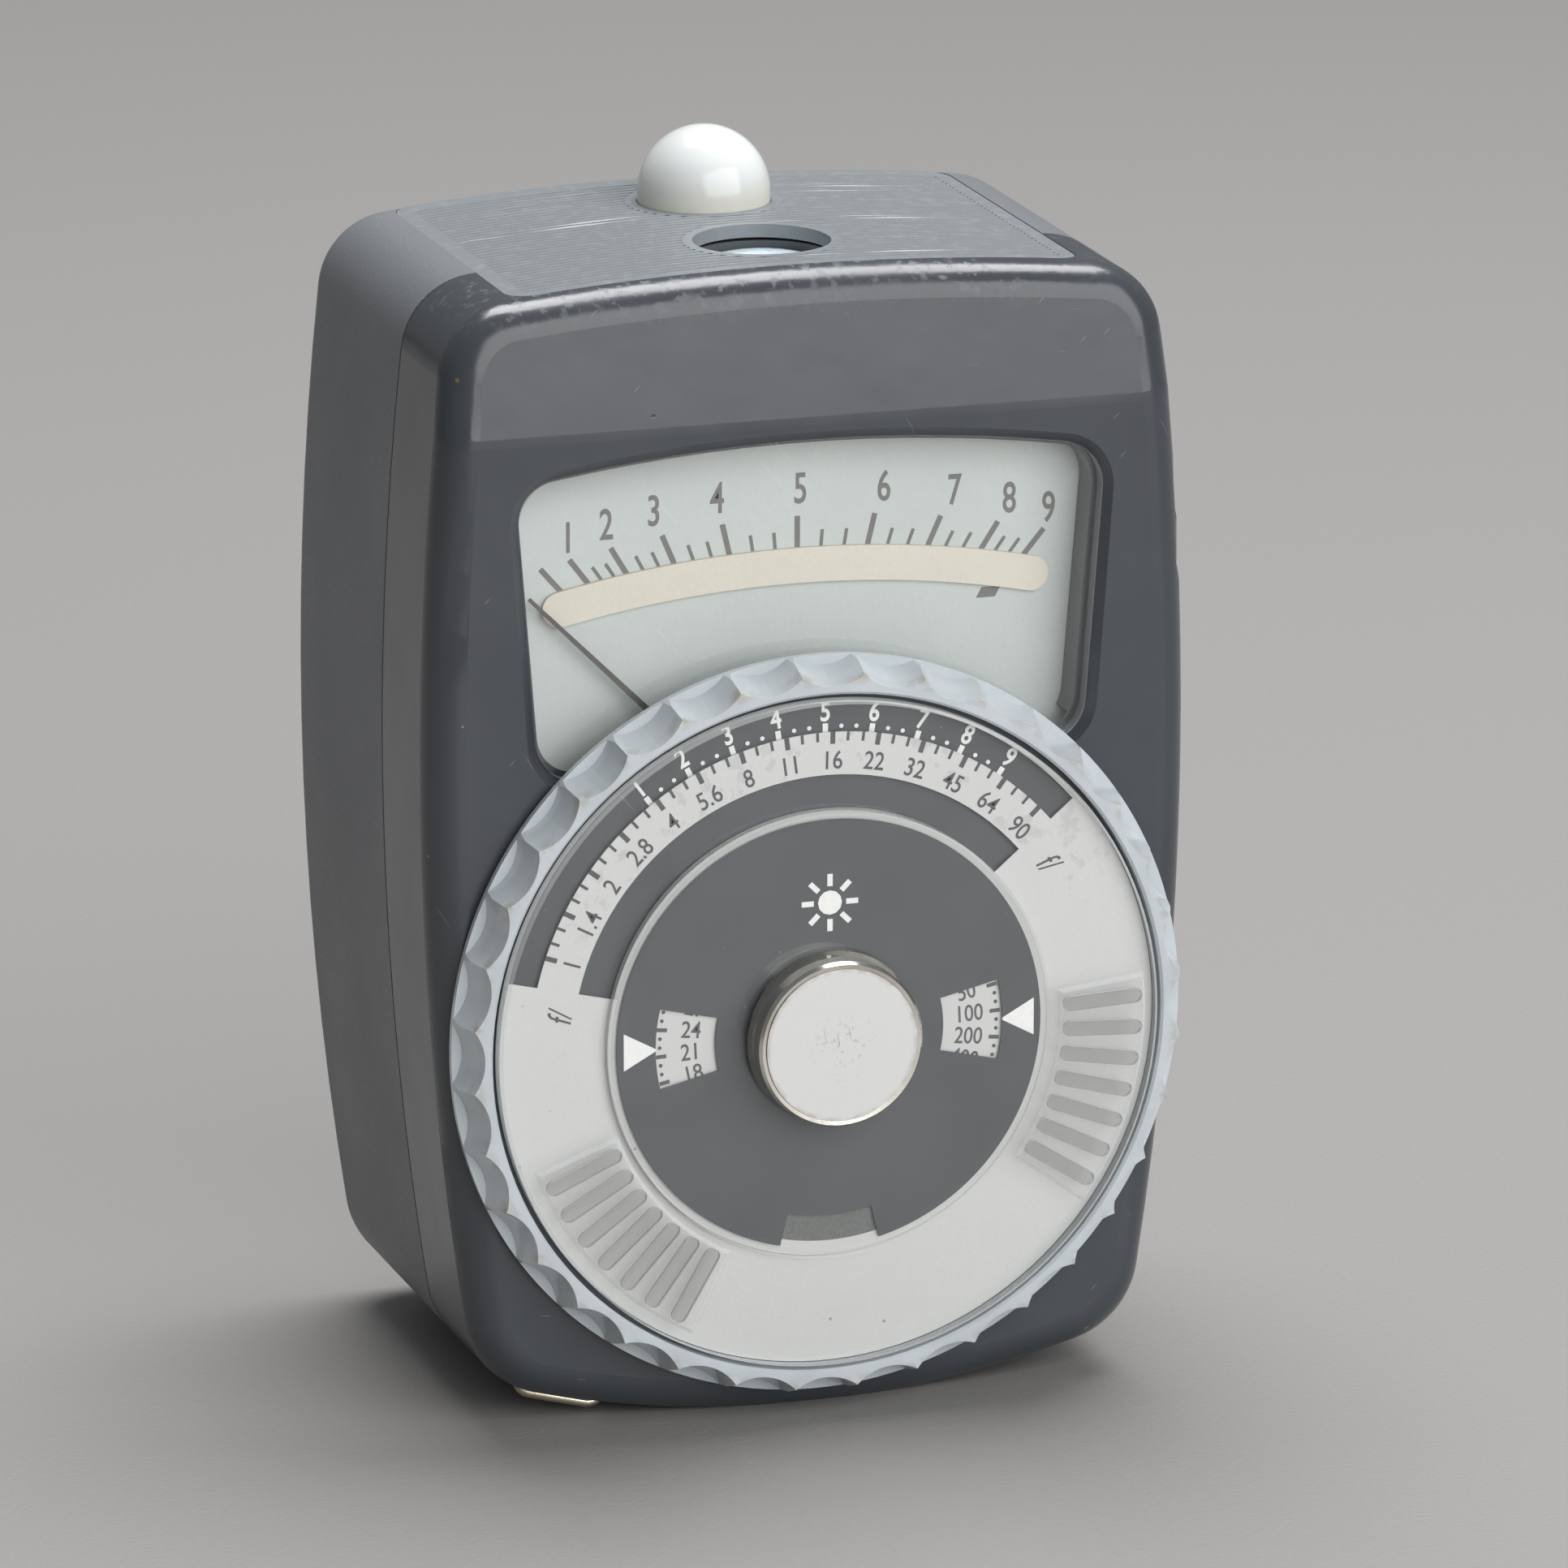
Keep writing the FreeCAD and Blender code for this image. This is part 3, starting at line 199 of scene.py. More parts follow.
def scattered(tree, cells, radius, core, channel, share):
    """Spots in the middle of Voronoi cells, full inside `core` of their radius.

    Only `share` of them are there, by lot from one channel of the cells' random colour.
    """
    spot = add(tree, "ShaderNodeMapRange", inputs={
        "Value": cells.outputs["Distance"], "From Min": radius, "From Max": radius * core})
    lot = add(tree, "ShaderNodeSeparateColor", inputs={"Color": cells.outputs["Color"]})
    kept = add(tree, "ShaderNodeMath", {"operation": "LESS_THAN"},
               {0: lot.outputs[channel], 1: share})
    return both(tree, spot.outputs["Result"], kept.outputs["Value"])


def specks(tree, place, spacing, width, share):
    """Round spots, in millimetres: `width` across, about one per `spacing`, a `share` of them."""
    cells = add(tree, "ShaderNodeTexVoronoi", inputs={
        "Vector": place, "Scale": 1 / (spacing * MM)})
    return scattered(tree, cells, width / spacing / 2, 0.6, "Red", share)


def scratches(tree, place, spacing, length, width, slant, share, facing="front"):
    """Straight fine scratches, in millimetres, that lean by `slant` degrees.

    They lie in the plane that faces the front, the top or the side; only `share` are there.
    """
    quarter = math.pi / 2
    turns = {"front": (quarter, 0.0, 0.0), "top": (0.0, 0.0, 0.0), "side": (0.0, quarter, 0.0)}
    upright = add(tree, "ShaderNodeVectorRotate", {"rotation_type": "EULER_XYZ"},
                  {"Vector": place, "Rotation": turns[facing]})
    leaning = add(tree, "ShaderNodeVectorRotate", {"rotation_type": "Z_AXIS"},
                  {"Vector": upright.outputs["Vector"], "Angle": math.radians(slant)})
    scale = 1 / (spacing * MM)
    stretched = add(tree, "ShaderNodeVectorMath", {"operation": "MULTIPLY"},
                    {0: leaning.outputs["Vector"], 1: (scale, scale * width / length, 0.0)})
    cells = add(tree, "ShaderNodeTexVoronoi", {"voronoi_dimensions": "2D"},
                {"Vector": stretched.outputs["Vector"], "Scale": 1.0})
    return scattered(tree, cells, width / spacing / 2, 0.4, "Green", share)


def layered(tree, ground, *layers):
    """Lays hex colours over a ground colour, each through its mask and at its strength."""
    for mask, strength, colour in layers:
        blended = add(tree, "ShaderNodeMix", {"data_type": "RGBA"}, {
            "Factor_Float": both(tree, mask, strength), "A_Color": ground,
            "B_Color": linear(colour)})
        ground = next(s for s in blended.outputs if s.identifier == "Result_Color")
    return ground


def raised(tree, start, *layers):
    """Adds masks to a start value, each times its strength."""
    for mask, strength in layers:
        start = add(tree, "ShaderNodeMath", {"operation": "MULTIPLY_ADD"},
                    {0: mask, 1: strength, 2: start}).outputs["Value"]
    return start


def relief(tree, height, depth):
    """A normal from a height pattern that is `depth` deep."""
    return add(tree, "ShaderNodeBump", inputs={
        "Height": height, "Distance": depth}).outputs["Normal"]


def between(tree, place, axis, start, end):
    """A mask that goes from 0 to 1 as one coordinate goes from start to end."""
    parts = add(tree, "ShaderNodeSeparateXYZ", inputs={"Vector": place})
    return add(tree, "ShaderNodeMapRange", inputs={
        "Value": parts.outputs[axis], "From Min": start, "From Max": end}).outputs["Result"]


def across_dial(tree, place):
    """A place measured from the dial's axis, with its depth left out."""
    moved = add(tree, "ShaderNodeVectorMath", {"operation": "SUBTRACT"},
                {0: place, 1: (0.0, 0.0, DIAL.z)})
    return add(tree, "ShaderNodeVectorMath", {"operation": "MULTIPLY"},
               {0: moved.outputs["Vector"], 1: (1.0, 0.0, 1.0)}).outputs["Vector"]


def from_axis(tree, place, start, end):
    """A mask that goes from 0 to 1 as the distance from the dial's axis goes from start to end."""
    radius = add(tree, "ShaderNodeVectorMath", {"operation": "LENGTH"},
                 {0: across_dial(tree, place)})
    return add(tree, "ShaderNodeMapRange", inputs={
        "Value": radius.outputs["Value"], "From Min": start, "From Max": end}).outputs["Result"]


def both(tree, one, other):
    """Where two masks overlap."""
    return add(tree, "ShaderNodeMath", {"operation": "MULTIPLY"},
               {0: one, 1: other}).outputs["Value"]


# ---------------------------------------------------------------- the finishes
def polished_abs(settings):
    """ABS from a polished mould, handled for years: glossy, hazed, scratched and speckled, with
    pale scuffs and a painted highlight along its top edge.
    """
    material, tree, shader, place = blank("polished_dark_abs")
    haze = clouds(tree, place, 9)
    long_lines = scratches(tree, place, 7.0, 9, 0.12, -16, 0.4)
    short_lines = scratches(tree, place, 2.7, 2.4, 0.10, 31, 0.35)
    rubs = scratches(tree, place, 2.1, 1.1, 0.09, 82, 0.4)
    nicks = scratches(tree, place, 3.3, 0.9, 0.12, -48, 0.4)
    pale_dust = specks(tree, place, 2.3, 0.24, 0.2)
    stains = specks(tree, place, 5.5, 0.5, 0.22)
    pits = specks(tree, place, 4.2, 0.5, 0.08)
    # pale scuffs near the top edge, partly a painted highlight of the top-front edge
    brow_scuffs_and_highlight = both(tree, between(tree, place, "Z", 84.5 * MM, 87 * MM),
                both(tree, clouds(tree, place, 0.8, 0.54, 0.64), clouds(tree, place, 6)))
    wear = settings.wear
    plug(tree, shader, {
        "Base Color": layered(
            tree, tuple(settings.front_colour),
            (haze, 0.25, "#464A4F"), (long_lines, 0.55 * wear, "#A9AEB2"),
            (short_lines, 0.25 * wear, "#9A9FA3"), (rubs, 0.3 * wear, "#8F9498"),
            (nicks, 0.35 * wear, "#9FA3A6"), (brow_scuffs_and_highlight, 0.3 * wear, "#A4A8AB"),
            (pale_dust, 0.6 * wear, "#A7A9A8"), (stains, 0.8 * wear, "#8A7530"),
            (pits, 0.8 * wear, "#1F2124")),
        "Roughness": raised(tree, 0.19, (haze, 0.07), (long_lines, 0.25), (rubs, 0.2),
                            (brow_scuffs_and_highlight, 0.25), (stains, 0.3)),
        "Normal": relief(tree, raised(tree, 0.0, (long_lines, -0.5), (rubs, -0.4), (pits, -1.0),
                                      (clouds(tree, place, 7, 0.2, 0.8), 1.5)), 0.02 * MM),
        "IOR": 1.53})
    return material


def matte_abs(settings):
    """ABS from a spark-eroded mould: an even fine grain, duller than the front."""
    material, tree, shader, place = blank("matte_grey_abs")
    # the real grain is about 0.1 mm; it is drawn at 0.25 mm so that it shows
    grain = clouds(tree, place, 0.25, 0.3, 0.7)
    shade = clouds(tree, place, 14)
    dust = specks(tree, place, 1.9, 0.22, 0.12)
    dirt = specks(tree, place, 4.1, 0.4, 0.07)
    lines = scratches(tree, place, 2.6, 6, 0.14, 12, 0.3, "side")
    wear = settings.wear
    plug(tree, shader, {
        "Base Color": layered(
            tree, tuple(settings.rear_colour), (shade, 0.3, "#72757A"),
            (dust, 0.6 * wear, "#A9A9A6"), (dirt, 0.6 * wear, "#2B2C2E"),
            (lines, 0.25 * wear, "#8C8F91")),
        "Roughness": raised(tree, 0.46, (grain, 0.12), (shade, -0.05)),
        "Normal": relief(tree, grain, 0.012 * MM),
        "IOR": 1.53})
    return material


def satin_ribs(settings):
    """The top plate, satin moulded ABS: faint blotches of dust, dark grime specks and a few fine
    scratches.
    """
    material, tree, shader, place = blank("satin_ribbed_abs")
    dust = clouds(tree, place, 1.1, 0.5, 0.75)
    grime = specks(tree, place, 2.1, 0.3, 0.12)
    lines = scratches(tree, place, 3.4, 3, 0.09, 80, 0.12, "top")
    wear = settings.wear
    plug(tree, shader, {
        "Base Color": layered(
            tree, tuple(settings.plate_colour), (dust, 0.12, "#A5A59E"),
            (grime, 0.7 * wear, "#3B3B39"), (lines, 0.15 * wear, "#C3C6C8")),
        "Roughness": raised(tree, 0.34, (dust, 0.12), (lines, 0.1)),
        "Normal": relief(tree, clouds(tree, place, 0.3), 0.003 * MM),
        "IOR": 1.53})
    return material


def opal_acrylic():
    """Opal PMMA: milky white with a hard gloss, with painted shade, tinted cream, near its foot."""
    material, tree, shader, place = blank("opal_acrylic")
    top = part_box("diffuser_dome")[1].z
    # painted shade: darker and creamier towards the dome's foot
    foot = between(tree, place, "Z", top - 3.5 * MM, top - 5.5 * MM)
    spots = specks(tree, place, 2.4, 0.25, 0.07)
    plug(tree, shader, {
        "Base Color": layered(tree, linear("#D3D7D6"), (foot, 0.6, "#CBC6B4"),
                              (spots, 0.7, "#B9A468")),
        "Roughness": raised(tree, 0.11, (clouds(tree, place, 2), 0.05)),
        "Subsurface Weight": 0.25,
        "Subsurface Scale": 1.5 * MM,
        "IOR": 1.49})
    return material


def pressed_lens():
    """Pressed glass over the light cell: pale blue, with a fine field of lenslets."""
    material, tree, shader, place = blank("pressed_lens_glass")
    cells = add(tree, "ShaderNodeTexVoronoi", {"feature": "SMOOTH_F1"},
                {"Vector": place, "Scale": 1 / (0.9 * MM), "Randomness": 0.2})
    plug(tree, shader, {
        "Base Color": layered(tree, linear("#BFD0DB"), (clouds(tree, place, 3), 0.5, "#E2EAEE")),
        "Roughness": raised(tree, 0.08, (clouds(tree, place, 1), 0.08)),
        "Normal": relief(tree, cells.outputs["Distance"], 0.15 * MM),
        "IOR": 1.52})
    return material


def clear_sheet(name, tint, wear, edge_light, lit_from, grooves=False):
    """Clear acrylic, thin: it shows what is under it, its own reflections, and its scratches.

    It is a mirror that only covers as much as the surface reflects; dust and scratches cover
    more and are pale. Its slanted edges carry a painted highlight, pale and more covering.
    The slots of the finger pads carry painted shade, greyer.
    """
    material, tree, shader, place = blank(name)
    slope = add(tree, "ShaderNodeLayerWeight", inputs={"Blend": 0.5}).outputs["Facing"]
    grazing = add(tree, "ShaderNodeMath", {"operation": "POWER"},
                  {0: slope, 1: 4.0}).outputs["Value"]
    lines = scratches(tree, place, 1.6, 5, 0.1, 40, 0.4)
    crossing = scratches(tree, place, 1.9, 3, 0.08, -30, 0.4)
    dust = specks(tree, place, 1.7, 0.16, 0.15)
    normal = add(tree, "ShaderNodeNewGeometry").outputs["Normal"]
    across = add(tree, "ShaderNodeSeparateXYZ", inputs={"Vector": normal}).outputs["Y"]
    flat = add(tree, "ShaderNodeMath", {"operation": "ABSOLUTE"}, {0: across}).outputs["Value"]
    # painted highlight: the slanted edges out from lit_from are painted pale and cover more
    cut_edge_highlight = both(tree, from_axis(tree, place, lit_from - 0.1 * MM, lit_from), add(
        tree, "ShaderNodeMapRange", inputs={
            "Value": flat, "From Min": 0.97, "From Max": 0.6}).outputs["Result"])
    # painted shade: the slot floors of the finger pads are painted grey and cover more
    slots = groove_floors(tree, place) if grooves else None
    dull = raised(tree, 0.0, (lines, 0.15 * wear), (crossing, 0.12 * wear), (dust, 0.4 * wear),
                  (cut_edge_highlight, edge_light), *([(slots, 0.42)] if grooves else []))
    mirror = add(tree, "ShaderNodeMath", {"operation": "MULTIPLY_ADD", "use_clamp": True},
                 {0: dull, 1: -4.0, 2: 1.0}).outputs["Value"]
    plug(tree, shader, {
        "Base Color": layered(tree, linear(tint), (cut_edge_highlight, 1.0, "#D4D7D8"),
                              *([(slots, 1.0, "#868784")] if grooves else [])),
        "Metallic": mirror,
        "Roughness": raised(tree, 0.04, (clouds(tree, place, 6), 0.05), (lines, 0.2)),
        "Alpha": raised(tree, 0.035, (grazing, 0.9), (dull, 1.0))})
    return material


def groove_floors(tree, place):
    """A mask for the floors of the slots in the two finger pads of the clear turning disc, where
    painted shade goes.
    """
    pads_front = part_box("aperture_disc")[0].y
    floor = both(tree, between(tree, place, "Y", pads_front + 0.2 * MM, pads_front + 0.3 * MM),
                 between(tree, place, "Y", pads_front + 0.5 * MM, pads_front + 0.4 * MM))
    inner, outer = PAD_BAND
    band = both(tree, from_axis(tree, place, inner, inner + 0.05 * MM),
                from_axis(tree, place, outer, outer - 0.05 * MM))
    aim = add(tree, "ShaderNodeVectorMath", {"operation": "NORMALIZE"},
              {0: across_dial(tree, place)}).outputs["Vector"]
    pads = []
    for middle in PAD_MIDDLES:
        turn = math.radians(middle)
        along = add(tree, "ShaderNodeVectorMath", {"operation": "DOT_PRODUCT"},
                    {0: aim, 1: (math.sin(turn), 0.0, math.cos(turn))})
        pads.append(add(tree, "ShaderNodeMath", {"operation": "GREATER_THAN"}, {
            0: along.outputs["Value"], 1: math.cos(math.radians(PAD_REACH))}).outputs["Value"])
    either = add(tree, "ShaderNodeMath", {"operation": "MAXIMUM"}, {0: pads[0], 1: pads[1]})
    return both(tree, both(tree, floor, band), either.outputs["Value"])


def milky_ring(settings):
    """Pearly moulded polystyrene: milky and glossy, rubbed brown on the crests of its flutes."""
    material, tree, shader, place = blank("milky_polystyrene")
    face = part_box("scalloped_ring")[0].y
    crest = from_axis(tree, place, 27.0 * MM, 28.0 * MM)
    front = between(tree, place, "Y", face + 1.1 * MM, face + 0.3 * MM)
    rubbed = both(tree, both(tree, crest, front), clouds(tree, place, 1.1, 0.44, 0.6))
    bloom = clouds(tree, place, 4)
    spots = specks(tree, place, 2.6, 0.35, 0.07)
    wear = settings.wear
    plug(tree, shader, {
        "Base Color": layered(
            tree, tuple(settings.ring_colour), (bloom, 0.5, "#CBD2D7"),
            (rubbed, wear, "#978A70"), (spots, 0.8 * wear, "#5E5543")),
        "Roughness": raised(tree, 0.12, (bloom, 0.05), (rubbed, 0.3)),
        "Subsurface Weight": 0.15,
        "Subsurface Scale": 1.0 * MM,
        "Normal": relief(tree, raised(tree, 0.0, (rubbed, -1.0), (bloom, 0.6)), 0.03 * MM),
        "IOR": 1.59})
    return material


def silvered_film(settings, name="silvered_film", shaded=False):
    """Silver paint screened on the back of clear acrylic: bright, faintly sparkling, specked.

    A shaded one is dark outside its printed scales, up to a bright line at its edge.
    """
    material, tree, shader, place = blank(name)
    sparkle = clouds(tree, place, 0.3, 0.3, 0.7)
    shade = clouds(tree, place, 12)
    flecks = specks(tree, place, 2.2, 0.3, 0.18)
    rubbed = both(tree, clouds(tree, place, 1.2, 0.56, 0.64),
                  both(tree, from_axis(tree, place, 20.0 * MM, 20.4 * MM),
                       between(tree, place, "Z", DIAL.z + 8 * MM, DIAL.z + 10 * MM)))
    outside = both(tree, from_axis(tree, place, 13.95 * MM, 14.0 * MM),
                   from_axis(tree, place, 16.3 * MM, 16.25 * MM))
    plug(tree, shader, {
        "Base Color": layered(
            tree, tuple(settings.silver_colour), (shade, 0.3, "#D9DAD8"),
            *([(outside, 0.95, "#5D605E")] if shaded else []),
            (sparkle, 0.12, "#BFC1C0"), (rubbed, 0.3 * settings.wear, "#8F9190"),
            (flecks, 0.8 * settings.wear, "#4A4947")),
        "Metallic": 0.35,
        "Roughness": raised(tree, 0.34, (sparkle, 0.1)),
        "Normal": relief(tree, sparkle, 0.004 * MM)})
    return material


def dark_film(settings):
    """Dark grey paint under clear acrylic: even and flat, with a few pale flakes."""
    material, tree, shader, place = blank("dark_film")
    shade = clouds(tree, place, 7)
    flakes = specks(tree, place, 2.0, 0.2, 0.10)
    stains = specks(tree, place, 5.0, 0.6, 0.10)
    plug(tree, shader, {
        "Base Color": layered(
            tree, tuple(settings.dark_colour), (shade, 0.35, "#56595D"),
            (flakes, 0.5 * settings.wear, "#A8AAAA"),
            (stains, 0.6 * settings.wear, "#8F7A3E")),
        "Roughness": raised(tree, 0.42, (shade, 0.08))})
    return material


def painted_card(name, colour, shade_colour, wear):
    """Stove-enamelled aluminium sheet: matt, faintly mottled, with small specks."""
    material, tree, shader, place = blank(name)
    shade = clouds(tree, place, 10)
    fine = clouds(tree, place, 0.35, 0.3, 0.7)
    marks = specks(tree, place, 3.1, 0.28, 0.10)
    stains = specks(tree, place, 6.0, 0.7, 0.08)
    plug(tree, shader, {
        "Base Color": layered(
            tree, tuple(colour), (shade, 0.4, shade_colour),
            (fine, 0.08, "#9EA29F"), (marks, 0.8 * wear, "#5B5A55"),
            (stains, 0.5 * wear, "#C9C08E")),
        "Roughness": raised(tree, 0.5, (fine, 0.1)),
        "Normal": relief(tree, fine, 0.006 * MM)})
    return material


def printing_ink(name, colour, patchy):
    """Screen-printing ink: flat and matt, thin in places so that it breaks up a little."""
    material, tree, shader, place = blank(name)
    thin = clouds(tree, place, 0.5, 0.45, 0.75)
    plug(tree, shader, {
        "Base Color": layered(tree, tuple(colour), (thin, 0.35, patchy)),
        "Roughness": raised(tree, 0.5, (thin, 0.15))})
    return material


def bare_metal(name, colour, tarnish, roughness, grain, wear=0.4):
    """Bare or plated metal: drawn or turned, so its grain catches the light, with some tarnish."""
    material, tree, shader, place = blank(name)
    stretched = add(tree, "ShaderNodeMapping", inputs={
        "Vector": place, "Scale": (1 / (grain * MM), 0.1 / (grain * MM), 1 / (grain * MM))})
    fine = add(tree, "ShaderNodeTexNoise", inputs={
        "Vector": stretched.outputs["Vector"], "Scale": 1.0, "Detail": 2.0}).outputs["Fac"]
    patch = clouds(tree, place, 2.5, 0.45, 0.7)
    plug(tree, shader, {
        "Base Color": layered(tree, linear(colour), (patch, wear, tarnish)),
        "Metallic": 1.0,
        "Roughness": raised(tree, roughness, (fine, 0.1), (patch, 0.12)),
        "Normal": relief(tree, fine, 0.003 * MM)})
    return material


def plain_moulding(name, colour, shade_colour, roughness, grain):
    """A small hidden or minor moulding: one colour, slightly mottled, with moulding texture."""
    material, tree, shader, place = blank(name)
    shade = clouds(tree, place, 3)
    fine = clouds(tree, place, grain, 0.3, 0.7)
    plug(tree, shader, {
        "Base Color": layered(tree, linear(colour), (shade, 0.5, shade_colour)),
        "Roughness": raised(tree, roughness, (fine, 0.12)),
        "Normal": relief(tree, fine, 0.008 * MM)})
    return material


def hub_enamel(settings):
    """The hub cap, satin lacquered aluminium: pale and even, scuffed in its middle."""
    material, tree, shader, place = blank("satin_lacquered_aluminium")
    fine = clouds(tree, place, 0.3, 0.3, 0.7)
    middle = from_axis(tree, place, 3.2 * MM, 1.0 * MM)
    scuffs = both(tree, middle, raised(
        tree, scratches(tree, place, 0.7, 1.6, 0.14, 10, 0.5),
        (clouds(tree, place, 0.45, 0.58, 0.66), 0.7)))
    rim = both(tree, from_axis(tree, place, 5.55 * MM, 5.9 * MM), clouds(tree, place, 1))
    plug(tree, shader, {
        "Base Color": layered(
            tree, linear("#D6D6D5"), (fine, 0.12, "#C6C6C4"),
            (scuffs, 0.7 * settings.wear, "#8E8C89"), (rim, 0.6, "#9A907C")),
        "Metallic": 0.3,
        "Roughness": raised(tree, 0.36, (fine, 0.1), (scuffs, 0.2)),
        "Normal": relief(tree, raised(tree, 0.0, (fine, 0.3), (scuffs, -1.0)), 0.01 * MM)})
    return material


def wound_copper():
    """Enamelled copper wire wound on a frame: turns side by side, drawn at 0.12 mm."""
    material, tree, shader, place = blank("enamelled_copper_winding")
    turns = add(tree, "ShaderNodeTexWave", {"bands_direction": "Y"},
                {"Vector": place, "Scale": 0.314 / (0.12 * MM) / 2}).outputs["Fac"]
    plug(tree, shader, {
        "Base Color": layered(tree, linear("#9A5A34"), (turns, 0.5, "#5E3018")),
        "Metallic": 0.8,
        "Roughness": raised(tree, 0.3, (turns, 0.15)),
        "Normal": relief(tree, turns, 0.03 * MM)})
    return material


def light_cell():
    """A light-sensitive cell: a dark plate with the comb of its two electrodes."""
    material, tree, shader, place = blank("light_cell_face")
    comb = add(tree, "ShaderNodeTexWave", {"bands_direction": "X"},
               {"Vector": place, "Scale": 0.314 / (0.9 * MM) / 2, "Distortion": 2.0,
                "Detail": 0.0}).outputs["Fac"]
    line = add(tree, "ShaderNodeMapRange", inputs={
        "Value": comb, "From Min": 0.7, "From Max": 0.8}).outputs["Result"]
    plug(tree, shader, {
        "Base Color": layered(tree, linear("#6B3326"), (line, 0.9, "#C9BDA0")),
        "Roughness": raised(tree, 0.35, (line, -0.1))})
    return material


def circuit_laminate():
    """Phenolic-paper board: brown, faintly streaked, with a few pale tracks."""
    material, tree, shader, place = blank("phenolic_board")
    streak = add(tree, "ShaderNodeMapping", inputs={
        "Vector": place, "Scale": (0.25 / MM, 0.4 / MM, 2.5 / MM)})
    paper = add(tree, "ShaderNodeTexNoise", inputs={
        "Vector": streak.outputs["Vector"], "Scale": 1.0}).outputs["Fac"]
    tracks = specks(tree, place, 2.54, 1.2, 0.45)
    plug(tree, shader, {
        "Base Color": layered(tree, linear("#8A6236"), (paper, 0.4, "#6C4A26"),
                              (tracks, 0.8, "#B8B5AE")),
        "Roughness": raised(tree, 0.45, (paper, 0.1), (tracks, -0.15))})
    return material


def component_mix():
    """Small board parts: a blue foil capacitor, cream trimmers and black transistors."""
    material, tree, shader, place = blank("board_component_bodies")
    shade = clouds(tree, place, 1.5)
    past_capacitor = between(tree, place, "X", -3.5 * MM, -3.4 * MM)
    past_trimmers = between(tree, place, "X", 8.9 * MM, 9.0 * MM)
    plug(tree, shader, {
        "Base Color": layered(
            tree, linear("#2F5F86"), (past_capacitor, 1.0, "#CFC3A2"),
            (past_trimmers, 1.0, "#26282A"), (shade, 0.12, "#8C8C8A")),
        "Roughness": raised(tree, 0.38, (shade, 0.15))})
    return material


FINISHED = set()


def finish_nodes(material, *names):
    """Gives CAD nodes a finish, in every one of their material slots."""
    for name in names:
        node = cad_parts[name]
        if not node.data.materials:
            node.data.materials.append(material)
        for slot in node.material_slots:
            slot.material = material
        FINISHED.add(name)


# ---------------------------------------------------------------- making pieces
def pick(*pieces):
    """Selects only these objects and makes the first one active."""
    bpy.ops.object.select_all(action="DESELECT")
    for piece in pieces:
        piece.select_set(True)
    bpy.context.view_layer.objects.active = pieces[0]


def on_dial(radius, angle, face, centre=None):
    """The placing of something printed at a radius and an angle: its foot points inwards."""
    turn = math.radians(angle)
    height = DIAL.z if centre is None else centre
    place = Vector((radius * math.sin(turn), face, height + radius * math.cos(turn)))
    return Matrix.Translation(place) @ Matrix.Rotation(turn, 4, "Y")


def figure(text, height, thickness, placing, narrow=0.82, weight=0.02, slope=0.0):
    """One printed word or number, as a thin solid, standing up from the face it is on."""
    bpy.ops.object.select_all(action="DESELECT")
    bpy.ops.object.text_add(location=(0, 0, 0))
    piece = bpy.context.object
    lettering = piece.data
    lettering.body = text
    lettering.align_x = "CENTER"
    lettering.align_y = "CENTER"
    lettering.size = height / DIGIT_SHARE
    lettering.shear = slope
    lettering.resolution_u = 4
    lettering.offset = weight * height
    lettering.extrude = thickness / 2
    bpy.ops.object.convert(target="MESH")
    piece = bpy.context.object
    bpy.ops.object.mode_set(mode="EDIT")
    bpy.ops.mesh.select_all(action="SELECT")
    bpy.ops.mesh.remove_doubles(threshold=height / 1000)
    bpy.ops.mesh.normals_make_consistent(inside=False)
    bpy.ops.object.mode_set(mode="OBJECT")
    upright = Matrix.Rotation(math.pi / 2, 4, "X") @ Matrix.Diagonal((narrow, 1, 1, 1))
    piece.matrix_world = placing @ upright
    bpy.ops.object.transform_apply()
    return piece


def soften(offset):
    """Bevels every edge of the active piece."""
    bpy.ops.object.mode_set(mode="EDIT")
    bpy.ops.mesh.select_all(action="SELECT")
    bpy.ops.mesh.bevel(offset=offset, segments=1)
    bpy.ops.object.mode_set(mode="OBJECT")


def bar(width, length, thickness):
    """A printed bar with softened corners, standing up from the origin."""
    bpy.ops.object.select_all(action="DESELECT")
    bpy.ops.mesh.primitive_cube_add(size=1, location=(0, 0, 0))
    piece = bpy.context.object
    piece.scale = (width, thickness, length)
    bpy.ops.object.transform_apply(location=False, rotation=False, scale=True)
    soften(min(width, thickness) * 0.2)
    return piece


def dot(width, thickness):
    """A printed round dot at the origin, facing forwards."""
    bpy.ops.object.select_all(action="DESELECT")
    bpy.ops.mesh.primitive_cylinder_add(vertices=12, radius=width / 2, depth=thickness,
                                        rotation=(math.pi / 2, 0, 0), location=(0, 0, 0))
    piece = bpy.context.object
    bpy.ops.object.transform_apply(location=False, rotation=True, scale=False)
    soften(thickness * 0.2)
    return piece


def pointer(width, length, thickness):
    """A printed triangle at the origin whose tip points down."""
    piece = bar(width, length, thickness)
    bpy.ops.object.mode_set(mode="EDIT")
    bpy.ops.mesh.select_all(action="DESELECT")
    bpy.ops.object.mode_set(mode="OBJECT")
    for vertex in piece.data.vertices:
        vertex.select = vertex.co.z < 0
    bpy.ops.object.mode_set(mode="EDIT")
    bpy.ops.transform.resize(value=(0.06, 1, 1))
    bpy.ops.object.mode_set(mode="OBJECT")
    return piece


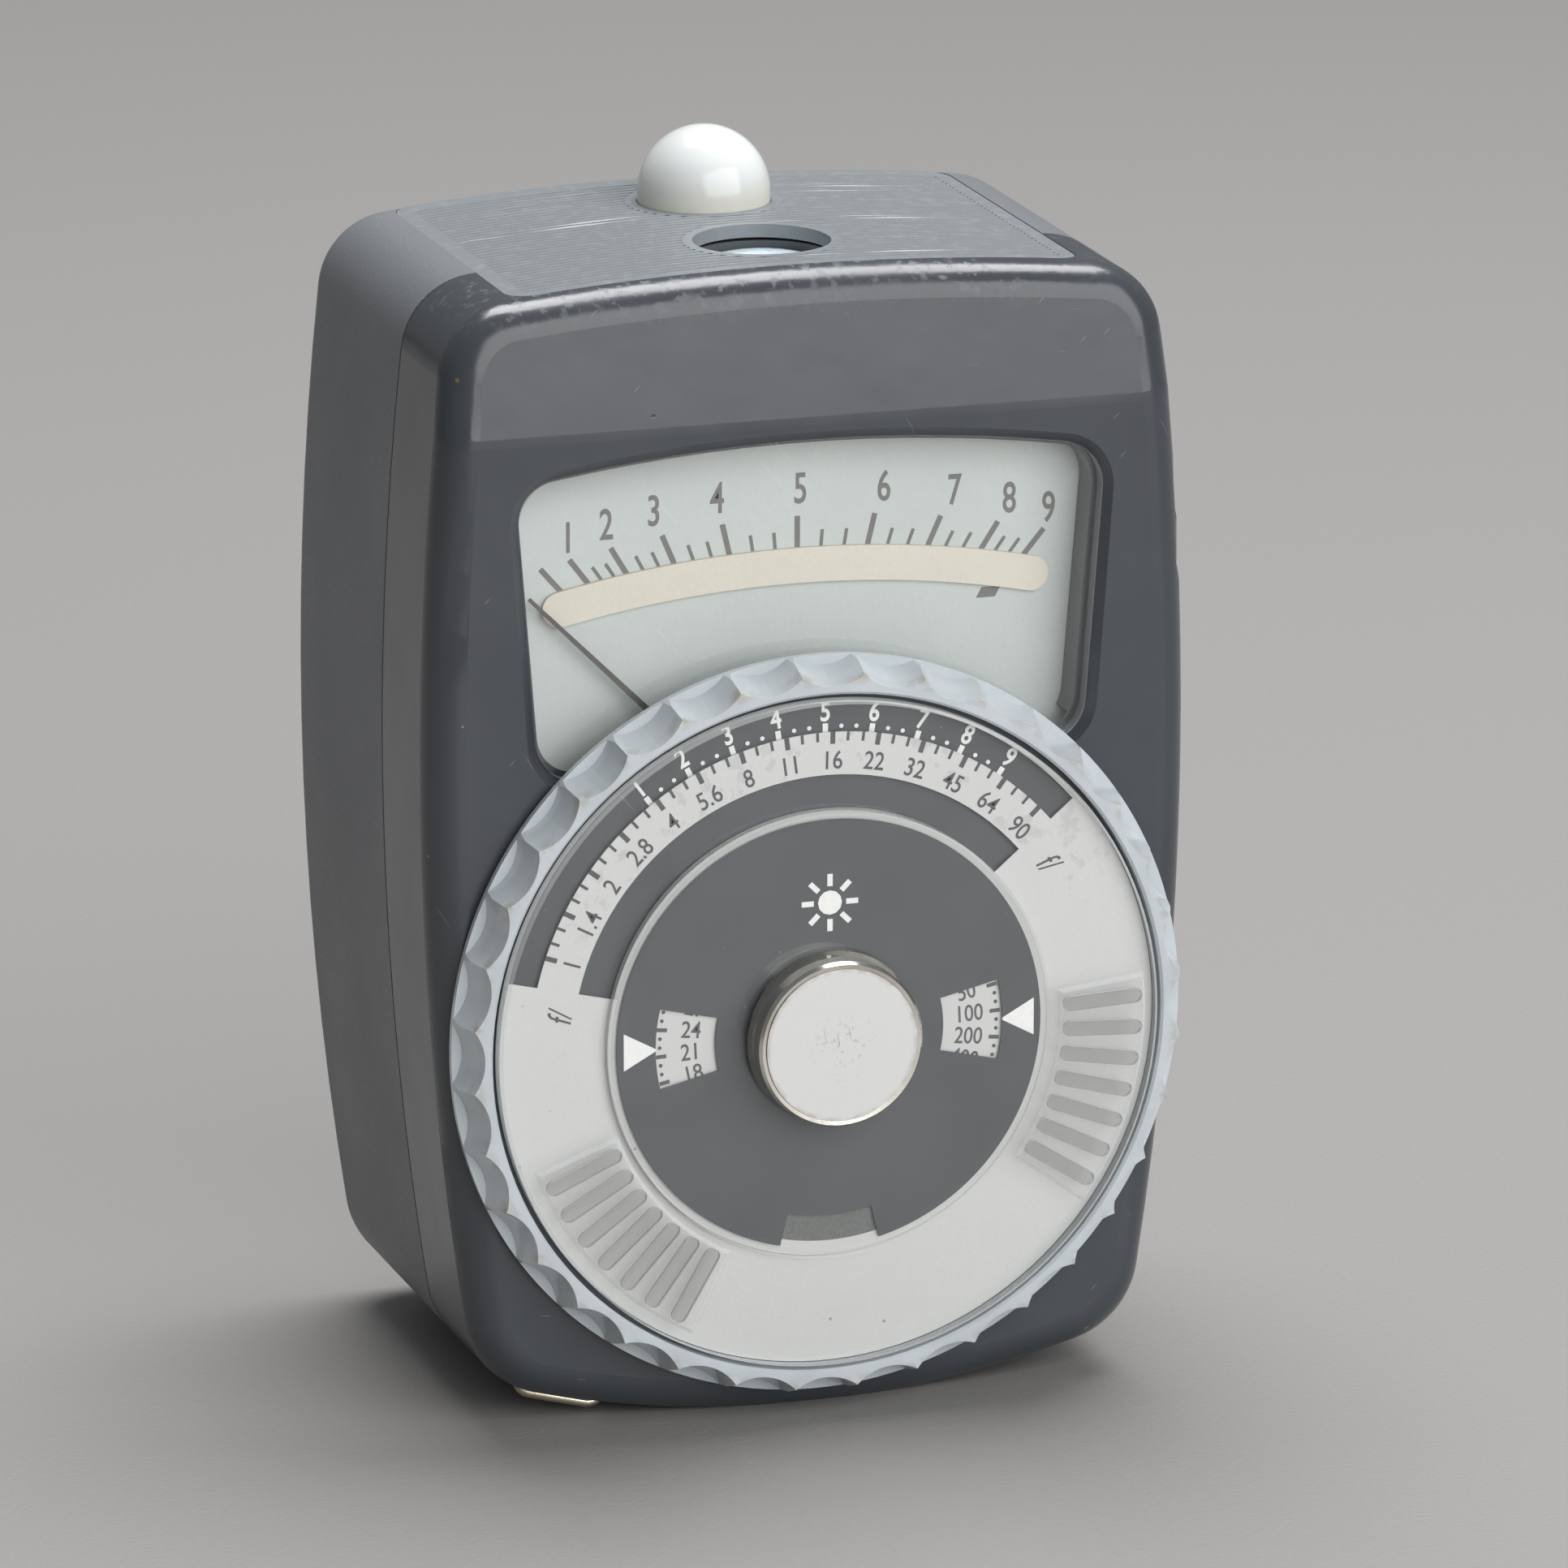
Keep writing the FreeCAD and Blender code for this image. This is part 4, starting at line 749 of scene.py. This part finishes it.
def stamped(pattern, placings):
    """Copies of a piece, one at each placing; the pattern itself is thrown away."""
    copies = []
    for placing in placings:
        copy = pattern.copy()
        copy.data = pattern.data.copy()
        bpy.context.scene.collection.objects.link(copy)
        copy.matrix_world = placing
        pick(copy)
        bpy.ops.object.transform_apply()
        copies.append(copy)
    bpy.data.objects.remove(pattern)
    return copies


def together(name, pieces, material, body):
    """Joins pieces into one, finishes it and lets it ride on its body."""
    pick(*pieces)
    if len(pieces) > 1:
        bpy.ops.object.join()
    piece = bpy.context.object
    piece.name = name
    piece.data.name = name
    piece.data.materials.clear()
    piece.data.materials.append(material)
    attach(piece, body)
    return piece


# ---------------------------------------------------------------- operators
class METER_OT_casing(bpy.types.Operator):
    """Finish both halves of the casing, the top plate, the dome, the lens and the loop."""

    bl_idname = "meter.casing"
    bl_label = "Finish the casing"

    def execute(self, context):
        settings = context.scene.meter
        finish_nodes(polished_abs(settings), "front_casing")
        finish_nodes(matte_abs(settings), "rear_casing")
        finish_nodes(satin_ribs(settings), "top_plate")
        finish_nodes(opal_acrylic(), "diffuser_dome")
        finish_nodes(pressed_lens(), "cell_lens")
        finish_nodes(plain_moulding("dark_sleeve_abs", "#4A4D50", "#3A3C3F", 0.4, 0.4),
                     "cell_tube")
        finish_nodes(light_cell(), "reflected_photocell", "incident_photocell")
        finish_nodes(bare_metal("bright_nickel_wire", "#E9DFC9", "#A08C68", 0.16, 0.2),
                     "strap_loop")
        finish_nodes(bare_metal("nickel_screws", "#BDB8AC", "#7C7464", 0.25, 0.15),
                     "case_screws", "zero_screw", "movement_screws", "hub_screw")
        finish_nodes(plain_moulding("ivory_button_plastic", "#E4E4E0", "#D2D0C6", 0.25, 0.5),
                     "measuring_button")
        finish_nodes(bare_metal("coin_slot_cap", "#A6A49E", "#6E6A60", 0.3, 0.12),
                     "battery_cap")
        return {"FINISHED"}


class METER_OT_window(bpy.types.Operator):
    """Finish the window, the scale card, its strip and the needle."""

    bl_idname = "meter.window"
    bl_label = "Finish the window"

    def execute(self, context):
        settings = context.scene.meter
        finish_nodes(clear_sheet("clear_window_acrylic", "#FFFFFF", settings.wear, 0.2, 0.0),
                     "scale_window")
        finish_nodes(painted_card("enamelled_scale_card", settings.card_colour, "#BEC6C3",
                                  settings.wear), "scale_plate")
        finish_nodes(painted_card("cream_enamel_strip", settings.strip_colour, "#E2DDCF",
                                  settings.wear), "scale_strip")
        finish_nodes(plain_moulding("blackened_aluminium", "#55534F", "#3F3E3C", 0.4, 0.3),
                     "needle")
        return {"FINISHED"}


class METER_OT_dial(bpy.types.Operator):
    """Finish the hand ring, the discs and the hub."""

    bl_idname = "meter.dial"
    bl_label = "Finish the dial"

    def execute(self, context):
        settings = context.scene.meter
        finish_nodes(milky_ring(settings), "scalloped_ring")
        finish_nodes(dark_film(settings), "reading_disc", "inner_print")
        finish_nodes(silvered_film(settings), "aperture_print")
        finish_nodes(silvered_film(settings, "silvered_speed_film", True), "speed_disc")
        finish_nodes(clear_sheet("clear_turning_disc_acrylic", "#F4F8F8", settings.wear, 0.42,
                                 17.7 * MM, True), "aperture_disc")
        finish_nodes(clear_sheet("clear_fixed_disc_acrylic", "#F4F8F8", settings.wear, 0.14,
                                 16.95 * MM), "inner_disc")
        finish_nodes(bare_metal("chromed_bezel", "#D9D6CE", "#8D8064", 0.1, 0.2, 0.35),
                     "hub_bezel")
        finish_nodes(hub_enamel(settings), "hub_cap")
        return {"FINISHED"}


def leaf_gives_way():
    """Gives the switch's leaf a mesh of its own; the leaf keeps its CAD shape."""
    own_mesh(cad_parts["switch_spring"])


class METER_OT_inside(bpy.types.Operator):
    """Finish the needle movement, the battery, the switch and the board."""

    bl_idname = "meter.inside"
    bl_label = "Finish the inside"

    def execute(self, context):
        finish_nodes(bare_metal("machined_brass", "#B8954F", "#7A6034", 0.28, 0.15),
                     "balance_weight", "front_bridge", "rear_bridge", "movement_spacers",
                     "front_hairspring", "rear_hairspring", "rear_jewel", "zero_lever",
                     "battery_contact", "switch_spring")
        finish_nodes(bare_metal("ground_steel", "#A2A3A4", "#6D6B68", 0.25, 0.15),
                     "needle_pivots", "dial_spindle", "wave_washer")
        finish_nodes(bare_metal("cast_magnet_alloy", "#6F7072", "#4A4846", 0.5, 0.5),
                     "magnet_core", "yoke_ring")
        finish_nodes(wound_copper(), "moving_coil")
        finish_nodes(bare_metal("nickel_plated_can", "#C6C5C0", "#8B8880", 0.2, 0.3),
                     "battery")
        finish_nodes(circuit_laminate(), "circuit_board")
        finish_nodes(component_mix(), "board_parts")
        finish_nodes(plain_moulding("black_phenolic", "#2A2724", "#3A3530", 0.4, 0.4),
                     "switch_block")
        missed = sorted(set(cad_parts) - FINISHED)
        if missed:
            raise RuntimeError(f"these nodes have no finish: {missed}")
        leaf_gives_way()
        return {"FINISHED"}


class METER_OT_scale_marks(bpy.types.Operator):
    """Print the figures and strokes on the card behind the needle."""

    bl_idname = "meter.scale_marks"
    bl_label = "Print the needle scale"

    def execute(self, context):
        settings = context.scene.meter
        ink = printing_ink("grey_scale_ink", settings.ink_colour, "#7E7C78")
        thick = settings.ink_thickness
        face = CARD_FACE - thick / 2
        main = NEEDLE_ANGLES
        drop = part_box("scale_strip")[1].z - STRIP_BOW - NEEDLE_PIVOT

        def edge(angle):
            """How far the strip's upper edge is from the needle's pivot, at an angle."""
            lean = math.radians(angle)
            return drop * math.cos(lean) + math.sqrt(STRIP_BOW ** 2 - (drop * math.sin(lean)) ** 2)

        def stroke_places(angles, length):
            """Where strokes of a length stand on the strip's upper edge."""
            return [Matrix.Translation((0.15 * MM, 0, 0)) @ on_dial(
                edge(angle) + length / 2 - 0.1 * MM, angle, face, NEEDLE_PIVOT) for angle in angles]

        minor = [low + (high - low) * share for low, high in zip(main[1:], main[2:])
                 for share in (0.34, 0.67)]
        strokes = stamped(bar(0.42 * MM, 2.5 * MM, thick), stroke_places(main, 2.5 * MM))
        strokes += stamped(bar(0.26 * MM, 1.35 * MM, thick), stroke_places(minor, 1.35 * MM))
        together("needle_scale_strokes", strokes, ink, "casing")
        # how far each figure is moved sideways from its stroke, so that none crowds its neighbour
        moves = (1.25, 0.85, 0.3, 0.2, 0.4, 0.4, 0.4, -0.05, -0.75)
        figures = []
        for number, (angle, move) in enumerate(zip(main[1:], moves), start=1):
            figures.append(figure(
                str(number), settings.scale_figure, thick,
                Matrix.Translation((move * MM, 0, 0)) @ on_dial(
                    edge(angle) + 4.4 * MM, angle, face, NEEDLE_PIVOT)
                @ Matrix.Rotation(-math.radians(angle), 4, "Y"), 0.68, 0.015))
        together("needle_scale_figures", figures, ink, "casing")
        pattern = bar(1.5 * MM, 0.8 * MM, thick)
        slope = 0.55
        for vertex in pattern.data.vertices:
            vertex.co.x += vertex.co.z * slope
        check = stamped(pattern, [Matrix.Translation((15.3 * MM, face, 61.6 * MM))])
        together("battery_check_mark", check, ink, "casing")
        return {"FINISHED"}


class METER_OT_dial_marks(bpy.types.Operator):
    """Print the reading numbers and the aperture numbers on the dial."""

    bl_idname = "meter.dial_marks"
    bl_label = "Print the dial"

    def execute(self, context):
        settings = context.scene.meter
        dark = printing_ink("dark_dial_ink", linear("#535557"), "#6E6F6F")
        white = printing_ink("white_dial_ink", settings.light_ink_colour, "#C9CAC8")
        thick = settings.ink_thickness
        face = READING_FACE - thick / 2
        steps = range(-4, 5)
        marks = [figure(str(n + 5), settings.reading_figure, thick,
                        on_dial(24.75 * MM, n * STOP, face), 0.8, 0.03) for n in steps]
        marks += stamped(bar(0.42 * MM, 1.1 * MM, thick),
                         [on_dial(23.35 * MM, n * STOP, face) for n in steps])
        marks += stamped(dot(0.34 * MM, thick), [on_dial(23.65 * MM, (n + share) * STOP, face)
                                                 for n in steps[:-1] for share in (0.34, 0.66)])
        together("reading_scale_print", marks, white, "hand_ring")

        face = APERTURE_FACE - thick / 2
        stops = ("1", "1.4", "2", "2.8", "4", "5.6", "8", "11", "16", "22", "32", "45", "64", "90")
        angles = [APERTURE_START + index * STOP for index in range(len(stops))]
        radius = 21.05 * MM
        marks = [figure(stop, settings.aperture_figure, thick, on_dial(radius, angle, face),
                        0.84, 0.008) for stop, angle in zip(stops, angles)]
        together("aperture_figures", marks, dark, "film_dial")
        marks = stamped(bar(0.38 * MM, 0.95 * MM, thick),
                        [on_dial(22.85 * MM, angle, face) for angle in angles])
        thirds = [angle + STOP * share for angle in angles[:-1] for share in THIRDS]
        marks += stamped(bar(0.22 * MM, 0.7 * MM, thick),
                         [on_dial(22.95 * MM, angle, face) for angle in thirds])
        together("aperture_strokes", marks, dark, "film_dial")
        marks = [figure("f/", 2.0 * MM, thick, on_dial(radius, angle, face), 0.7, 0.0, 0.3)
                 for angle in APERTURE_SIGNS]
        together("aperture_signs", marks, dark, "film_dial")
        return {"FINISHED"}


class METER_OT_film_speed_marks(bpy.types.Operator):
    """Print the two film-speed scales on the disc behind the small windows."""

    bl_idname = "meter.film_speed_marks"
    bl_label = "Print the film speeds"

    def execute(self, context):
        settings = context.scene.meter
        dark = printing_ink("dark_speed_ink", linear("#535557"), "#6E6F6F")
        thick = settings.ink_thickness
        face = SPEED_FACE - thick / 2
        right, left = SPEED_MIDDLES
        scales = (
            (("6", "12", "25", "50", "100", "200", "400", "800", "1600"), right, 1, 11.15, 0.82),
            (("36", "33", "30", "27", "24", "21", "18", "15", "12", "9"), left, -1, 10.9, 0.86))
        marks, whole = [], []
        for texts, fifth, way, radius, narrow in scales:
            for index, text in enumerate(texts):
                whole.append(fifth + way * (index - 4) * STOP)
                turned = on_dial(radius * MM, whole[-1], face) @ Matrix.Rotation(
                    -way * math.pi / 2, 4, "Y")
                marks.append(figure(text, settings.speed_figure, thick, turned, narrow, 0.008))
        together("film_speed_figures", marks, dark, "film_dial")
        marks = stamped(bar(0.3 * MM, 0.8 * MM, thick),
                        [on_dial(13.2 * MM, angle, face) for angle in whole])
        marks += stamped(dot(0.3 * MM, thick), [on_dial(13.3 * MM, angle + STOP * share, face)
                                                for angle in whole for share in THIRDS])
        together("film_speed_strokes", marks, dark, "film_dial")
        return {"FINISHED"}


class METER_OT_pointers(bpy.types.Operator):
    """Print the two white pointers and a plain sun sign on the fixed inner disc."""

    bl_idname = "meter.pointers"
    bl_label = "Print the pointers"

    def execute(self, context):
        settings = context.scene.meter
        white = printing_ink("white_pointer_ink", settings.light_ink_colour, "#D8D9D7")
        thick = settings.ink_thickness
        face = INNER_FACE - thick / 2
        marks = stamped(pointer(2.9 * MM, 2.5 * MM, thick),
                        [on_dial(14.95 * MM, angle, face) for angle in (-90, 90)])
        together("film_speed_pointers", marks, white, "casing")
        sun = Matrix.Translation((0, face, DIAL.z + 10.3 * MM))
        outwards = Matrix.Translation((0, 0, 1.75 * MM))
        rays = [sun @ Matrix.Rotation(math.radians(angle), 4, "Y") @ outwards
                for angle in range(0, 360, 45)]
        marks = stamped(bar(0.42 * MM, 0.95 * MM, thick), rays)
        marks += stamped(dot(1.9 * MM, thick), [sun])
        together("sun_sign", marks, white, "casing")
        return {"FINISHED"}


class METER_OT_stage(bpy.types.Operator):
    """Set up the floor, the lights and the camera."""

    bl_idname = "meter.stage"
    bl_label = "Set the stage"

    def execute(self, context):
        settings = context.scene.meter
        scene = context.scene
        bpy.ops.object.select_all(action="DESELECT")
        bpy.ops.mesh.primitive_plane_add(size=12, location=(0, 0, 0))
        floor = bpy.context.object
        floor.name = "floor"
        material, tree, shader, place = blank("painted_paper_floor")
        plug(tree, shader, {
            "Base Color": layered(tree, tuple(settings.floor_colour),
                                  (clouds(tree, place, 500), 0.3, "#8D8B89")),
            "Roughness": 0.5,
            "Normal": relief(tree, clouds(tree, place, 0.5, 0.3, 0.7), 0.02 * MM)})
        floor.data.materials.append(material)

        world = bpy.data.worlds.new("studio")
        scene.world = world
        world.use_nodes = True
        plug(world.node_tree, world.node_tree.nodes["Background"],
             {"Color": linear("#D9DBDE"), "Strength": 0.27})

        target = Vector((0, 0, 0.045))
        for name, place, wide, tall, power in (
                ("overhead_light", (0.15, 0.25, 0.95), 0.8, 0.5, settings.key_power),
                ("front_light", (0.35, -1.05, 0.52), 1.5, 1.0, settings.front_power)):
            bpy.ops.object.light_add(type="AREA", location=place)
            lamp = bpy.context.object
            lamp.name = name
            lamp.data.shape = "RECTANGLE"
            lamp.data.size = wide
            lamp.data.size_y = tall
            lamp.data.energy = power
            lamp.rotation_euler = (target - Vector(place)).to_track_quat("-Z", "Y").to_euler()

        downwards, sideways = 15.22, -17.78
        bpy.ops.object.camera_add(
            location=(-0.2567, -0.8123, 0.2758),
            rotation=(math.radians(90 - downwards), 0, math.radians(sideways)))
        camera = bpy.context.object
        camera.name = "camera"
        camera.data.lens = 264.2
        camera.data.sensor_width = 36
        camera.data.clip_start = 0.01
        scene.camera = camera
        scene.view_settings.view_transform = "Standard"
        return {"FINISHED"}


class METER_PT_panel(bpy.types.Panel):
    """Lists the meter's settings and the steps that finish it."""

    bl_idname = "METER_PT_panel"
    bl_label = "Exposure Meter"
    bl_space_type = "VIEW_3D"
    bl_region_type = "UI"
    bl_category = "Meter"

    def draw(self, context):
        for name in MeterSettings.__annotations__:
            self.layout.prop(context.scene.meter, name)
        for step in STEPS:
            self.layout.operator(step.bl_idname)


STEPS = (METER_OT_casing, METER_OT_window, METER_OT_dial, METER_OT_inside, METER_OT_scale_marks,
         METER_OT_dial_marks, METER_OT_film_speed_marks, METER_OT_pointers, METER_OT_stage)
CLASSES = (MeterSettings, *STEPS, METER_PT_panel)


def register():
    for kind in CLASSES:
        bpy.utils.register_class(kind)
    bpy.types.Scene.meter = PointerProperty(type=MeterSettings)


def unregister():
    del bpy.types.Scene.meter
    for kind in reversed(CLASSES):
        bpy.utils.unregister_class(kind)


def main():
    """Runs every step in order."""
    register()
    for step in STEPS:
        family, action = step.bl_idname.split(".")
        getattr(getattr(bpy.ops, family), action)()
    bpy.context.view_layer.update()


if __name__ == "__main__":
    main()
